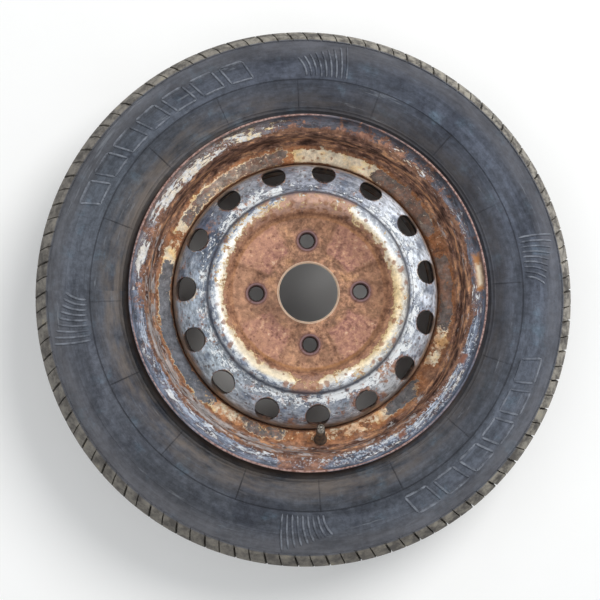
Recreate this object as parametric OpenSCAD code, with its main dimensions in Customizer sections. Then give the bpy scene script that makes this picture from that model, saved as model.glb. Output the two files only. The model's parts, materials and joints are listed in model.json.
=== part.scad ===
// Steel car wheel with a flat tyre, lying street side up on the ground.
// The wheel axis is +Z. Z = 0 is the ground under the collapsed lower sidewall.
// Radii are measured from the wheel axis; sheet paths run along the middle of the sheet.

/* [Rim] */
// Bead seat diameter of the rim (nominal 14 inch)
bead_d = 354.8; // [330:0.1:430]
// Distance between the two tyre flanges (nominal 5 inch)
rim_w = 127; // [115:1:160]
// Thickness of the rolled rim sheet
rim_t = 2.6; // [2:0.1:3.4]
// Height of the flanges above the bead seats
flange_h = 17.3; // [16:0.1:22]
// Axial width of each rolled flange lip
lip_w = 12; // [10.5:0.1:15]
// Width of each bead seat with its hump
seat_w = 30; // [24:0.5:34]
// Slope of the bead seats towards the wheel middle, degrees
seat_slope = 5; // [3:0.5:7]
// Height of the safety hump on each seat
hump_h = 1.2; // [0.4:0.1:2]
// Depth of the drop well below the bead seats
well_depth = 25.3; // [20:0.1:30]
// Slope of both well sides, degrees
well_slope = 30; // [22:1:36]
// Height and width of the steep shoulder between each seat and its well side
well_lead = 5; // [2:0.5:7]
// Clearance between the ground and the lower flange
flange_lift = 9; // [4:0.5:16]

/* [Wheel disc] */
// Thickness of the pressed disc
disc_t = 3.2; // [2.4:0.1:4.5]
// Height of the mounting face above the middle of the rim
inset = 50; // [40:0.5:56]
// Gap between the disc skirt and the well it is welded into
skirt_fit = 0.15; // [0.05:0.05:0.5]
// Length of the straight skirt of the disc
skirt_l = 26; // [16:1:32]
// Radius of the large outer roll of the disc
roll_r = 44.7; // [38:0.1:50]
// Slope at which the outer roll ends in the groove, degrees
roll_end = 10; // [6:1:16]
// Height of the ridge above the groove
ridge_h = 9; // [6:0.5:12]
// Width of the flat crest of the ridge
ridge_crest_w = 8.5; // [7:0.5:12]
// Width of the flank between groove and crest
ridge_flank_w = 6; // [5:0.5:9]
// Height of the groove above the hub face
hub_drop = 4.5; // [2:0.5:8]
// Width of the wall that slopes from the ridge down to the hub face
inner_wall_w = 11.5; // [8:0.5:16]
// Number of vent holes
vent_n = 15; // [8:1:18]
// Diameter of each vent hole
vent_d = 26.5; // [16:0.5:27]
// Slope of the disc at the middle of the vent holes, degrees
vent_slope = 44.5; // [38:0.5:48]
// Lean of the vent holes away from the wheel axis, degrees
vent_lean = 20; // [10:1:45]
// Angle of the first vent hole, degrees
vent_a = 10.5; // [0:0.5:24]
// Number of weld beads between disc and rim
weld_n = 8; // [4:1:12]
// Angle that each weld bead covers, degrees
weld_a = 22; // [10:1:28]
// Leg of each weld bead
weld_leg = 4; // [2.5:0.5:5]
// Angle of the middle of the first weld bead, degrees
weld_first = 12; // [0:1:45]

/* [Hub mounting] */
// Diameter of the centre bore
bore_d = 64.1; // [54:0.1:72.6]
// Pitch circle diameter of the bolt holes
pcd = 114.3; // [104:0.1:118]
// Number of bolt holes
bolt_n = 4; // [3:1:5]
// Diameter of each bolt hole through the disc
bolt_d = 15; // [12:0.1:16.5]
// Mouth diameter of the conical bolt seat
bolt_seat_d = 20; // [18:0.5:22]
// Outer diameter of the raised collar round each bolt seat
bolt_collar_d = 25; // [23:0.5:28]
// Height of that collar above the hub face
bolt_collar_h = 1.4; // [0.8:0.1:3]
// Angle of the first bolt hole, degrees
bolt_a = 1.6; // [0:0.1:45]
// Inner diameter of the four pressed lobes
lobe_d = 94; // [86:1:110]
// Angle that each pressed lobe covers, degrees
lobe_a = 44; // [30:1:50]
// Height of the pressed lobes between the bolt holes
lobe_h = 2.2; // [1:0.1:2.8]

/* [Tyre] */
// Outer diameter over the tread
tyre_d = 600; // [540:1:680]
// Drop of the upper shoulder of the flat tyre below the street side lip
shoulder_drop = 23; // [16:1:32]
// Height of the slumped upper sidewall above its shoulder
sidewall_rise = 9; // [4:0.5:14]
// Thickness of the sidewalls
wall_t = 8; // [6:0.5:10]
// Thickness of the tread band
tread_t = 14; // [11:0.5:17]
// Width of each bead
bead_w = 14; // [11:0.5:17]
// Drop of the loose upper bead below the street side flange
bead_slip = 22; // [16:0.5:28]
// Clearance between rubber and rim where they meet
bead_fit = 0.3; // [0.1:0.1:1]

/* [Valve] */
// Diameter of the valve hole in the rim
valve_hole_d = 11.3; // [11:0.1:14]
// Angle of the valve round the rim, degrees
valve_a = 275.3; // [0:0.1:360]
// Length of the valve outside the rim
valve_l = 30; // [24:0.5:40]
// Diameter of the rubber stem at its upper end
stem_tip_d = 9.8; // [9:0.1:10.8]
// Diameter of the rubber shoulder outside the rim
stem_shoulder_d = 15; // [14.5:0.5:17]
// Diameter of the rubber bulb inside the rim
stem_bulb_d = 18; // [17:0.5:19]
// Gap between the rubber and the rim round the valve hole
stem_fit = 0.3; // [0.1:0.1:0.6]
// Diameter of the thread of the brass insert
insert_d = 7.7; // [7.4:0.1:8.2]
// Diameter of the insert inside the rubber
insert_shank_d = 7.1; // [6.8:0.1:7.2]
// Bore of the brass insert where the core sits
insert_bore_d = 5.2; // [4.8:0.1:5.6]
// Length of the brass insert
insert_l = 36; // [34:0.5:40]
// Length of thread that stands out of the rubber
insert_out = 8; // [5:0.5:12]
// Gap between pieces that sit inside each other in the valve
core_fit = 0.1; // [0.05:0.05:0.2]
// Depth of the valve core below the mouth of the insert
core_depth = 0.6; // [0:0.1:2]
// Diameter of the core pin
pin_d = 1.4; // [1:0.1:1.8]
// Wire diameter of the core spring
spring_wire = 0.35; // [0.2:0.05:0.4]

/* [Hidden] */
$fn = 96;
bend_steps = 5;
mid_z = flange_lift + lip_w + rim_w / 2;
lip_z = mid_z + rim_w / 2 + lip_w;

// Rim, along the middle of its sheet
seat_r = bead_d / 2;
seat_mid_r = seat_r - rim_t / 2;
lip_r = seat_r + flange_h;
lip_mid_r = lip_r - rim_t / 2;
flange_mid = rim_w / 2 + rim_t / 2;
seat_end_r = seat_mid_r - seat_w * tan(seat_slope);
hump_w = 8;
hump_r = seat_end_r + hump_h + hump_w / 2 * tan(seat_slope);
well_mid_r = seat_mid_r - well_depth;
well_in_r = well_mid_r - rim_t / 2;
well_end = flange_mid - seat_w - well_lead - (seat_end_r - well_lead - well_mid_r) * tan(well_slope);
flange_bend_r = 8;
hump_bend_r = 4;
well_bend_r = 7;

// Disc, along the middle of its sheet
mount_z = mid_z + inset;
hub_mid_z = mount_z + disc_t / 2;
hub_top_z = mount_z + disc_t;
groove_mid_z = hub_mid_z + hub_drop;
skirt_out_r = well_in_r - skirt_fit;
skirt_mid_r = skirt_out_r - disc_t / 2;
roll_mid = roll_r - disc_t / 2;
roll_c_r = skirt_out_r - roll_r;
roll_c_z = groove_mid_z - roll_mid * cos(roll_end);
groove_r = roll_c_r + roll_mid * sin(roll_end);
crest_out_r = groove_r - ridge_flank_w;
crest_in_r = crest_out_r - ridge_crest_w;
crest_mid_z = groove_mid_z + ridge_h;
hub_face_r = crest_in_r - inner_wall_w;
skirt_low_z = roll_c_z - skirt_l;
weld_r = skirt_out_r + skirt_fit / 2;
weld_bite = 0.8;
roll_steps = 14;
ridge_bend_r = 4.5;
press_bend_r = 6;
cut_l = 40;

// Tyre
tyre_r = tyre_d / 2;
shoulder_z = lip_z - shoulder_drop;
heel_r = flange_bend_r - rim_t / 2 - bead_fit;
wall_span = tyre_r - lip_r;
bead_r = seat_r + bead_fit;
top_bead_z = mid_z + rim_w / 2 - bead_slip;
low_bead_z = mid_z - rim_w / 2 + bead_fit;
crown_z = shoulder_z + sidewall_rise;

// Valve, measured along its own axis from the middle of the rim sheet
valve_up = well_bend_r * tan(45 - well_slope / 2) + stem_bulb_d / 2;
valve_r = well_mid_r + valve_up * cos(well_slope);
valve_z = mid_z + well_end + valve_up * sin(well_slope);
stem_low = rim_t / 2 + stem_fit;
stem_neck_d = valve_hole_d - 2 * stem_fit;
stem_bulb_l = 9;
stem_top = valve_l - insert_out;
thread_low = stem_top + 2 * core_fit;
core_top = valve_l - core_depth;
plug_l = 6;
plug_d = insert_bore_d - 2 * core_fit;
insert_seat_d = insert_bore_d - 1;
barrel_d = insert_seat_d - 6 * core_fit;
barrel_l = 9;
barrel_wall = 0.4;
barrel_top = core_top - plug_l - core_fit;
plunger_l = 2.5;
spring_turns = 7;
spring_steps = 14;
spring_l = barrel_l - 2 * barrel_wall - 2 * core_fit - spring_wire;

function unit(v) = v / norm(v);

// Arc of radius r that rounds the corner b between a and c
function corner(a, b, c, r) =
    let(
        u = unit(a - b),
        w = unit(c - b),
        half = acos(u * w) / 2,
        reach = r / tan(half),
        centre = b + unit(u + w) * r / sin(half),
        from = b + u * reach - centre,
        to = b + w * reach - centre,
        turn = 180 - 2 * half
    )
    [for (i = [0 : bend_steps])
        let(k = i / bend_steps)
        centre + (sin((1 - k) * turn) * from + sin(k * turn) * to) / sin(turn)];

// Path through points [radius, height, bend radius], with every inner corner rounded
function rounded(p) =
    let(last = len(p) - 1, q = [for (v = p) [v[0], v[1]]])
    concat(
        [q[0]],
        [for (i = [1 : last - 1]) each (p[i][2] == 0 ? [q[i]] : corner(q[i - 1], q[i], q[i + 1], p[i][2]))],
        [q[last]]
    );

function leg(path, i) = unit(path[min(i + 1, len(path) - 1)] - path[min(i, len(path) - 2)]);

// Offset of a path to its left by d, mitred at each point
function beside(path, d) =
    [for (i = [0 : len(path) - 1])
        let(
            before = leg(path, max(i - 1, 0)),
            after = leg(path, i),
            side = unit([-before[1] - after[1], before[0] + after[0]])
        )
        path[i] + side * d / (side * [-after[1], after[0]])];

function reversed(list) = [for (i = [len(list) - 1 : -1 : 0]) list[i]];

// Sheet of thickness t that follows a path
module sheet(path, t) {
    polygon(concat(beside(path, t / 2), reversed(beside(path, -t / 2))));
}

// One side of the rim, from the lip to the well; side is 1 for the street side
function rim_side(side) = [
    [lip_mid_r, side * (rim_w / 2 + lip_w), 0],
    [lip_mid_r, side * flange_mid, flange_bend_r],
    [seat_mid_r, side * flange_mid, flange_bend_r],
    [seat_mid_r - (seat_w - hump_w) * tan(seat_slope), side * (flange_mid - seat_w + hump_w), hump_bend_r],
    [hump_r, side * (flange_mid - seat_w + hump_w / 2), hump_bend_r / 2],
    [seat_end_r, side * (flange_mid - seat_w), hump_bend_r],
    [seat_end_r - well_lead, side * (flange_mid - seat_w - well_lead), hump_bend_r / 2],
    [well_mid_r, side * well_end, well_bend_r]
];

module at_valve() {
    rotate([0, 0, valve_a])
        translate([valve_r, 0, valve_z])
            rotate([0, -well_slope, 0])
                children();
}

module rim() {
    color("dimgray")
        difference() {
            translate([0, 0, mid_z])
                rotate_extrude()
                    sheet(rounded(concat(rim_side(1), reversed(rim_side(-1)))), rim_t);
            at_valve()
                cylinder(d = valve_hole_d, h = cut_l / 2, center = true);
        }
}

// Skirt, outer roll, groove, ridge and hub face of the disc
function disc_path() = concat(
    [[skirt_mid_r, skirt_low_z, 0]],
    [for (i = [0 : roll_steps - 1])
        let(a = 90 - (90 - roll_end) * i / roll_steps)
        [roll_c_r + roll_mid * sin(a), roll_c_z + roll_mid * cos(a), 0]],
    [
        [groove_r, groove_mid_z, ridge_bend_r],
        [crest_out_r, crest_mid_z, ridge_bend_r],
        [crest_in_r, crest_mid_z, press_bend_r],
        [hub_face_r, hub_mid_z, press_bend_r],
        [bore_d / 2, hub_mid_z, 0]
    ]
);

module around_bolts() {
    for (i = [0 : bolt_n - 1])
        rotate([0, 0, bolt_a + i * 360 / bolt_n])
            translate([pcd / 2, 0, 0])
                children();
}

// Sector ring of one pressed lobe, from height z up by h
module lobe(z, h, inset_by) {
    translate([0, 0, z])
        rotate([0, 0, -lobe_a / 2 + inset_by])
            rotate_extrude(angle = lobe_a - 2 * inset_by)
                translate([lobe_d / 2 + inset_by, 0])
                    square([hub_face_r - lobe_d / 2 - 2 * inset_by, h]);
}

module around_lobes() {
    for (i = [0 : bolt_n - 1])
        rotate([0, 0, bolt_a + (i + 0.5) * 360 / bolt_n])
            children();
}

module weld_beads() {
    for (i = [0 : weld_n - 1])
        rotate([0, 0, weld_first + i * 360 / weld_n - weld_a / 2])
            rotate_extrude(angle = weld_a)
                polygon([
                    [weld_r, skirt_low_z - weld_leg],
                    [weld_r, skirt_low_z + weld_bite],
                    [skirt_out_r - disc_t + weld_bite, skirt_low_z + weld_bite],
                    [skirt_out_r - disc_t + weld_bite, skirt_low_z]
                ]);
}

module wheel_disc() {
    color("sienna")
        difference() {
            union() {
                rotate_extrude()
                    sheet(rounded(disc_path()), disc_t);
                around_lobes()
                    lobe(hub_mid_z, disc_t / 2 + lobe_h, 0);
                around_bolts()
                    translate([0, 0, hub_mid_z])
                        cylinder(d = bolt_collar_d, h = disc_t / 2 + bolt_collar_h);
                weld_beads();
            }
            around_lobes()
                lobe(mount_z - lobe_h, 2 * lobe_h, disc_t / 2);
            around_bolts()
                translate([0, 0, hub_mid_z - cut_l / 2])
                    cylinder(d = bolt_d, h = cut_l);
            around_bolts()
                translate([0, 0, mount_z + (bolt_collar_h + disc_t) / 6])
                    cylinder(d1 = bolt_d, d2 = bolt_seat_d, h = (bolt_collar_h + disc_t) * 5 / 6 + 0.01);
            for (i = [0 : vent_n - 1])
                rotate([0, 0, vent_a + i * 360 / vent_n])
                    translate([roll_c_r + roll_mid * sin(vent_slope), 0, roll_c_z + roll_mid * cos(vent_slope)])
                        rotate([0, vent_lean, 0])
                            cylinder(d = vent_d, h = cut_l, center = true);
        }
}

// Share k of the way from the rim lip to the tread
function across(k) = lip_r + k * wall_span;

// Outer skin of the flat tyre, from the loose upper bead over the tread to the lower bead
function tyre_outer() = [
    [bead_r, top_bead_z - bead_w, 0],
    [bead_r, top_bead_z, heel_r / 2],
    [bead_r + bead_w, top_bead_z + 2, 6],
    [lip_r + 5, crown_z - 8, 10],
    [across(0.28), crown_z, 30],
    [across(0.52), crown_z - 0.5, 60],
    [across(0.87), shoulder_z, 12],
    [tyre_r - 2, shoulder_z - 14, 14],
    [tyre_r, shoulder_z / 2, 60],
    [tyre_r - 5, 14, 14],
    [across(0.84), 0, 12],
    [across(0.26), 0, 12],
    [lip_r + 6, flange_lift + 4, 8],
    [lip_r - 4, low_bead_z, 4],
    [bead_r, low_bead_z, heel_r],
    [bead_r, low_bead_z + bead_w, 0]
];

// Inner skin of the flat tyre, from the lower bead back to the upper one
function tyre_inner() = [
    [bead_r + 5, low_bead_z + bead_w + 2, 4],
    [lip_r + 2, low_bead_z + bead_w, 8],
    [lip_r + 8 + wall_t, wall_t + 4, 14],
    [across(0.3), wall_t, 20],
    [across(0.8), wall_t, 14],
    [tyre_r - tread_t - 4, wall_t + tread_t, 14],
    [tyre_r - tread_t, shoulder_z / 2, 50],
    [tyre_r - tread_t - 3, shoulder_z - tread_t - 14, 16],
    [across(0.82), shoulder_z - tread_t + 1, 16],
    [across(0.52), crown_z - wall_t - 1, 60],
    [across(0.28), crown_z - wall_t, 30],
    [lip_r + 5 + wall_t / 2, crown_z - wall_t - 8, 8],
    [bead_r + bead_w + wall_t / 2, top_bead_z - bead_w / 2, 5],
    [bead_r + 5, top_bead_z - bead_w - 1, 3]
];

module tyre() {
    color("darkslategray")
        rotate_extrude()
            polygon(rounded(concat(tyre_outer(), tyre_inner(), [[bead_r, top_bead_z - bead_w, 0]])));
}

module valve_stem() {
    color("black")
        at_valve()
            difference() {
                rotate_extrude()
                    polygon([
                        [0, -stem_low - stem_bulb_l],
                        [stem_bulb_d / 2 - 4, -stem_low - stem_bulb_l],
                        [stem_bulb_d / 2, -stem_low - stem_bulb_l / 3],
                        [stem_bulb_d / 2, -stem_low],
                        [stem_neck_d / 2, -stem_low],
                        [stem_neck_d / 2, stem_low],
                        [stem_shoulder_d / 2, stem_low],
                        [stem_shoulder_d / 2 - 0.5, stem_low + 2],
                        [stem_tip_d / 2 + 0.6, stem_low + 6],
                        [stem_tip_d / 2, stem_top - 1],
                        [stem_tip_d / 2 - 0.6, stem_top],
                        [0, stem_top]
                    ]);
                translate([0, 0, -cut_l])
                    cylinder(d = insert_shank_d + 2 * core_fit, h = 2 * cut_l);
            }
}

module valve_insert() {
    color("peru")
        at_valve()
            difference() {
                union() {
                    translate([0, 0, valve_l - insert_l])
                        cylinder(d = insert_shank_d, h = insert_l);
                    translate([0, 0, thread_low])
                        cylinder(d = insert_d, h = valve_l - thread_low);
                }
                translate([0, 0, valve_l - insert_l - 1])
                    cylinder(d = insert_seat_d, h = insert_l + 2);
                translate([0, 0, core_top - plug_l - 1])
                    cylinder(d = insert_bore_d, h = plug_l + 2 + core_depth);
            }
}

module core_plug() {
    color("goldenrod")
        at_valve()
            translate([0, 0, core_top - plug_l])
                difference() {
                    cylinder(d = plug_d, h = plug_l);
                    translate([0, 0, -1])
                        cylinder(d = pin_d + 2 * core_fit, h = plug_l + 2);
                    for (side = [-1, 1])
                        translate([side * plug_d / 2, 0, plug_l])
                            cube([plug_d / 2, plug_d, plug_l / 2], center = true);
                }
}

module core_pin() {
    color("silver")
        at_valve()
            translate([0, 0, barrel_top - barrel_l - plunger_l])
                cylinder(d = pin_d, h = core_top - barrel_top + barrel_l + plunger_l);
}

module core_barrel() {
    color("gold")
        at_valve()
            translate([0, 0, barrel_top - barrel_l])
                difference() {
                    cylinder(d = barrel_d, h = barrel_l);
                    translate([0, 0, barrel_wall])
                        cylinder(d = barrel_d - 2 * barrel_wall, h = barrel_l - 2 * barrel_wall);
                    translate([0, 0, -1])
                        cylinder(d = pin_d + 2 * core_fit, h = barrel_l + 2);
                }
}

module core_gasket() {
    color("red")
        at_valve()
            translate([0, 0, barrel_top - barrel_l / 2])
                difference() {
                    cylinder(d = insert_seat_d - 2 * core_fit, h = 2);
                    translate([0, 0, -1])
                        cylinder(d = barrel_d + 2 * core_fit, h = 4);
                }
}

// Ring of points round the spring wire at step i
function wire_ring(i, coil_r) =
    let(a = i * 360 / spring_steps, h = spring_wire / 2 + spring_l * i / (spring_turns * spring_steps))
    [for (k = [0 : 7])
        let(r = coil_r + spring_wire / 2 * cos(k * 45))
        [r * cos(a), r * sin(a), h + spring_wire / 2 * sin(k * 45)]];

module core_spring() {
    rings = spring_turns * spring_steps;
    coil_r = barrel_d / 2 - barrel_wall - core_fit - spring_wire / 2;
    points = [for (i = [0 : rings]) each wire_ring(i, coil_r)];
    sides = [for (i = [0 : rings - 1]) for (k = [0 : 7])
        [8 * i + k, 8 * i + (k + 1) % 8, 8 * i + 8 + (k + 1) % 8, 8 * i + 8 + k]];
    ends = [[for (k = [7 : -1 : 0]) k], [for (k = [0 : 7]) 8 * rings + k]];
    color("lightgray")
        at_valve()
            translate([0, 0, barrel_top - barrel_l + barrel_wall + core_fit])
                polyhedron(points, concat([for (f = sides) reversed(f)], reversed_all(ends)));
}

function reversed_all(faces) = [for (f = faces) reversed(f)];

module core_plunger() {
    color("maroon")
        at_valve()
            translate([0, 0, barrel_top - barrel_l - plunger_l - core_fit])
                difference() {
                    cylinder(d = insert_seat_d - 2 * core_fit, h = plunger_l);
                    translate([0, 0, -1])
                        cylinder(d = pin_d + 2 * core_fit, h = plunger_l + 2);
                }
}

rim();
wheel_disc();
tyre();
valve_stem();
valve_insert();
core_plug();
core_pin();
core_barrel();
core_gasket();
core_spring();
core_plunger();
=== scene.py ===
import json
from math import atan2, ceil, cos, degrees, hypot, pi, radians, sin, tan

import bmesh
import bpy
from mathutils import Matrix, Vector


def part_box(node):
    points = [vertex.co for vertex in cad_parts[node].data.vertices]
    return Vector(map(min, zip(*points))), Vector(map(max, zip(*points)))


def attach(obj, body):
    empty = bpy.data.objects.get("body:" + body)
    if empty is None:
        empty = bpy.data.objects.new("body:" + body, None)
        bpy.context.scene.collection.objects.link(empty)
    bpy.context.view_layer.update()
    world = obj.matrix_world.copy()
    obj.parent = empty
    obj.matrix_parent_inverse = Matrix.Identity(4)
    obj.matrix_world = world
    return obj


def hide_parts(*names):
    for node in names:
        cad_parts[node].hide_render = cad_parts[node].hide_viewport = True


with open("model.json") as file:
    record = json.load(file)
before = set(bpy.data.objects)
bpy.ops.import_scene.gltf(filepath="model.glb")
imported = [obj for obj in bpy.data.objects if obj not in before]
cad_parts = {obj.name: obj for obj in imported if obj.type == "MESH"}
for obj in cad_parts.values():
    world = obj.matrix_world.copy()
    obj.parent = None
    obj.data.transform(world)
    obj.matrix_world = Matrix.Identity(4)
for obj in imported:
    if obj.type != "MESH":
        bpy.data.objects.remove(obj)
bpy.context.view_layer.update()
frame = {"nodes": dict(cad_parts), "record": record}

# Steel car wheel with a flat tyre, lying street side up. Sizes in this script are in
# millimetres and degrees, as in the CAD model; meshes are made in metres.

MM = 0.001
TURN = 2 * pi
MOUNTS = {mount["name"]: mount for mount in frame["record"]["mounts"]}

# ---------------------------------------------------------------- sizes
RIM_LOW, RIM_HIGH = (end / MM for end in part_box("rim"))
TYRE_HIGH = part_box("tyre")[1] / MM

RIM_T = 2.6
LIP_Z = RIM_HIGH.z
LIP_R = RIM_HIGH.x
RIM_STEPS = 288
LIP_DENT_H = 14
LIP_W = 12.0
FLANGE_H = 17.3
MID_Z = (RIM_LOW.z + RIM_HIGH.z) / 2
RIM_W = LIP_Z - RIM_LOW.z - 2 * LIP_W
SEAT_R = LIP_R - FLANGE_H
SEAT_W = 30.0
SEAT_SLOPE = radians(5)
HUMP_H = 1.2
HUMP_W = 8.0
WELL_LEAD = 5.0
WELL_DEPTH = 25.3
WELL_SLOPE = radians(30)
FLANGE_BEND = 8.0
HUMP_BEND = 4.0
WELL_BEND = 7.0

SEAT_MID_R = SEAT_R - RIM_T / 2
FLANGE_MID = RIM_W / 2 + RIM_T / 2
SEAT_END_R = SEAT_MID_R - SEAT_W * tan(SEAT_SLOPE)
HUMP_R = SEAT_END_R + HUMP_H + HUMP_W / 2 * tan(SEAT_SLOPE)
WELL_MID_R = SEAT_MID_R - WELL_DEPTH
WELL_TOP = FLANGE_MID - SEAT_W - WELL_LEAD
WELL_END = WELL_TOP - (SEAT_END_R - WELL_LEAD - WELL_MID_R) * tan(WELL_SLOPE)

DISC_T = 3.2
DISC_STEPS = 300
SKIRT_FIT = 0.15
SKIRT_L = 26.0
ROLL_R = 44.7
ROLL_END = radians(10)
RIDGE_H = 9.0
RIDGE_CREST_W = 8.5
RIDGE_FLANK_W = 6.0
HUB_DROP = 4.5
INNER_WALL_W = 11.5
RIDGE_BEND = 4.5
PRESS_BEND = 6.0
BORE_R = MOUNTS["hub_bore"]["dims"]["r_mm"]
MOUNT_Z = MOUNTS["mounting_face"]["pos_m"][2] / MM
HUB_MID_Z = MOUNT_Z + DISC_T / 2
HUB_TOP_Z = MOUNT_Z + DISC_T
GROOVE_MID_Z = HUB_MID_Z + HUB_DROP
SKIRT_OUT_R = WELL_MID_R - RIM_T / 2 - SKIRT_FIT
ROLL_MID = ROLL_R - DISC_T / 2
ROLL_C_R = SKIRT_OUT_R - ROLL_R
ROLL_C_Z = GROOVE_MID_Z - ROLL_MID * cos(ROLL_END)
GROOVE_R = ROLL_C_R + ROLL_MID * sin(ROLL_END)
CREST_OUT_R = GROOVE_R - RIDGE_FLANK_W
CREST_IN_R = CREST_OUT_R - RIDGE_CREST_W
HUB_FACE_R = CREST_IN_R - INNER_WALL_W
SKIRT_LOW_Z = ROLL_C_Z - SKIRT_L

VENT_N = 15
VENT_A = 10.5
VENT_D = 26.5
VENT_SLOPE = radians(44.5)
VENT_LEAN = radians(20)
VENT_R = ROLL_C_R + ROLL_MID * sin(VENT_SLOPE)
VENT_Z = ROLL_C_Z + ROLL_MID * cos(VENT_SLOPE)

BOLT_N = MOUNTS["bolt_circle"]["dims"]["count"]
BOLT_R = MOUNTS["bolt_circle"]["dims"]["pcd_mm"] / 2
BOLT_HOLE_R = MOUNTS["bolt_circle"]["dims"]["hole_r_mm"]
BOLT_A = 1.6
BOLT_SEAT_R = 10.0
BOLT_COLLAR_R = 12.5
BOLT_COLLAR_H = 1.4
LOBE_IN_R = 47.0
LOBE_A = 44.0
LOBE_H = 2.2

WELD_N = 8
WELD_A = 22.0
WELD_FIRST = 12.0
WELD_LEG = 4.0
WELD_BITE = 0.8

TYRE_R = TYRE_HIGH.x
WALL_T = 8.0
TREAD_T = 14.0
BEAD_W = 14.0
BEAD_FIT = 0.3
BEAD_SLIP = 22.0
SHOULDER_Z = LIP_Z - 23.0
CROWN_Z = SHOULDER_Z + 9.0
HEEL_R = FLANGE_BEND - RIM_T / 2 - BEAD_FIT
BEAD_R = SEAT_R + BEAD_FIT
TOP_BEAD_Z = MID_Z + RIM_W / 2 - BEAD_SLIP
LOW_BEAD_Z = MID_Z - RIM_W / 2 + BEAD_FIT
FLANGE_LIFT = RIM_LOW.z

VALVE_A = radians(275.3)
VALVE_UP = WELL_BEND * tan(pi / 4 - WELL_SLOPE / 2) + 9.0
VALVE_R = WELL_MID_R + VALVE_UP * cos(WELL_SLOPE)
VALVE_Z = MID_Z + WELL_END + VALVE_UP * sin(WELL_SLOPE)
VALVE_L = 30.0
VALVE_HOLE_R = 5.65
VALVE_STEPS = 64
STEM_TOP = 22.0
AT_VALVE = (Matrix.Rotation(VALVE_A, 4, "Z")
            @ Matrix.Translation((VALVE_R * MM, 0, VALVE_Z * MM))
            @ Matrix.Rotation(-WELL_SLOPE, 4, "Y"))


# ---------------------------------------------------------------- outlines
def smooth(value, low, high):
    """0 below low, 1 above high, and a soft step between them."""
    k = min(max((value - low) / (high - low), 0), 1)
    return k * k * (3 - 2 * k)


def corner(before, at, after, bend, steps=6):
    """Arc of radius bend that rounds one corner of a path."""
    back = (before - at).normalized()
    onward = (after - at).normalized()
    half = back.angle(onward) / 2
    reach = bend / tan(half)
    centre = at + (back + onward).normalized() * bend / sin(half)
    start = (at + back * reach - centre).normalized()
    end = (at + onward * reach - centre).normalized()
    return [centre + start.slerp(end, i / steps) * bend for i in range(steps + 1)]


def rounded(points, steps=6):
    """Path through points (radius, height, bend radius) with its inner corners rounded."""
    flat = [Vector(point[:2]) for point in points]
    path = [flat[0]]
    for i in range(1, len(points) - 1):
        bend = points[i][2]
        path += corner(flat[i - 1], flat[i], flat[i + 1], bend, steps) if bend else [flat[i]]
    return path + [flat[-1]]


def refined(path, spacing):
    """The same path with its long stretches cut into steps no longer than spacing."""
    fine = [path[0]]
    for a, b in zip(path, path[1:]):
        cuts = max(1, ceil((b - a).length / spacing))
        fine += [a.lerp(b, i / cuts) for i in range(1, cuts + 1)]
    return fine


def left_of(path, i):
    """Unit vector to the left of a path at point i, and how far a mitre stretches it there."""
    last = len(path) - 1
    before = (path[max(i, 1)] - path[max(i, 1) - 1]).normalized()
    after = (path[min(i, last - 1) + 1] - path[min(i, last - 1)]).normalized()
    side = Vector((-before.y - after.y, before.x + after.x)).normalized()
    return side, 1 / max(side.dot(Vector((-after.y, after.x))), 0.5)


def beside(path, distance):
    """Path that runs at a distance to the left of another one."""
    moved = []
    for i, point in enumerate(path):
        side, stretch = left_of(path, i)
        moved.append(point + side * distance * stretch)
    return moved


def end_cap(path, thickness, steps=5):
    """Points of a half-round end on the last point of a sheet path, from its left to its right."""
    onward = (path[-1] - path[-2]).normalized()
    side = Vector((-onward.y, onward.x))
    return [path[-1] + (side * cos(a) + onward * sin(a)) * thickness / 2
            for a in (pi * i / (steps + 1) for i in range(1, steps + 1))]


def sheet(path, thickness):
    """Closed outline of a sheet that follows a path, with half-round ends."""
    back = path[::-1]
    return (beside(path, thickness / 2) + end_cap(path, thickness)
            + beside(path, -thickness / 2)[::-1] + end_cap(back, thickness))


def lengths(path):
    """Distance of each point of a path from its start."""
    total = [0.0]
    for a, b in zip(path, path[1:]):
        total.append(total[-1] + (b - a).length)
    return total


def resampled(path, distances):
    """Points at the given distances along a path."""
    marks = lengths(path)
    points = []
    i = 0
    for distance in distances:
        while i < len(marks) - 2 and marks[i + 1] < distance:
            i += 1
        k = (distance - marks[i]) / (marks[i + 1] - marks[i])
        points.append(path[i].lerp(path[i + 1], min(max(k, 0), 1)))
    return points


# ---------------------------------------------------------------- meshes
def spun(outline, steps, angle=TURN):
    """Closed outline of (radius, height) points turned round the wheel axis."""
    shape = bmesh.new()
    row = shape.verts.layers.int.new("row")
    points = [shape.verts.new((p[0] * MM, 0, p[1] * MM)) for p in outline]
    edges = [shape.edges.new((a, b)) for a, b in zip(points, points[1:] + points[:1])]
    for i, point in enumerate(points):
        point[row] = i
    turned = angle >= TURN
    geometry = points + edges if turned else [shape.faces.new(points)] + edges + points
    bmesh.ops.spin(shape, geom=geometry, axis=(0, 0, 1), cent=(0, 0, 0), angle=angle,
                   steps=steps, use_merge=turned)
    bmesh.ops.recalc_face_normals(shape, faces=shape.faces)
    return shape


def crease(shape, limit=32):
    """Smooth shading, with edges sharper than the limit left sharp."""
    for face in shape.faces:
        face.smooth = True
    for edge in shape.edges:
        edge.smooth = len(edge.link_faces) == 2 and degrees(edge.calc_face_angle(0)) < limit


def plain_object(name, shape):
    """Object that holds a finished bmesh, in the scene."""
    mesh = bpy.data.meshes.new(name)
    shape.to_mesh(mesh)
    shape.free()
    piece = bpy.data.objects.new(name, mesh)
    bpy.context.scene.collection.objects.link(piece)
    return piece


def piece_of_wheel(name, shape, material, slot, *nodes):
    """Finished piece that rides on the wheel and stands for CAD nodes."""
    crease(shape)
    piece = plain_object(name, shape)
    piece.data.materials.append(material)
    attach(piece, "root")
    if nodes:
        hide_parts(*nodes)
    return piece


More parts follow.
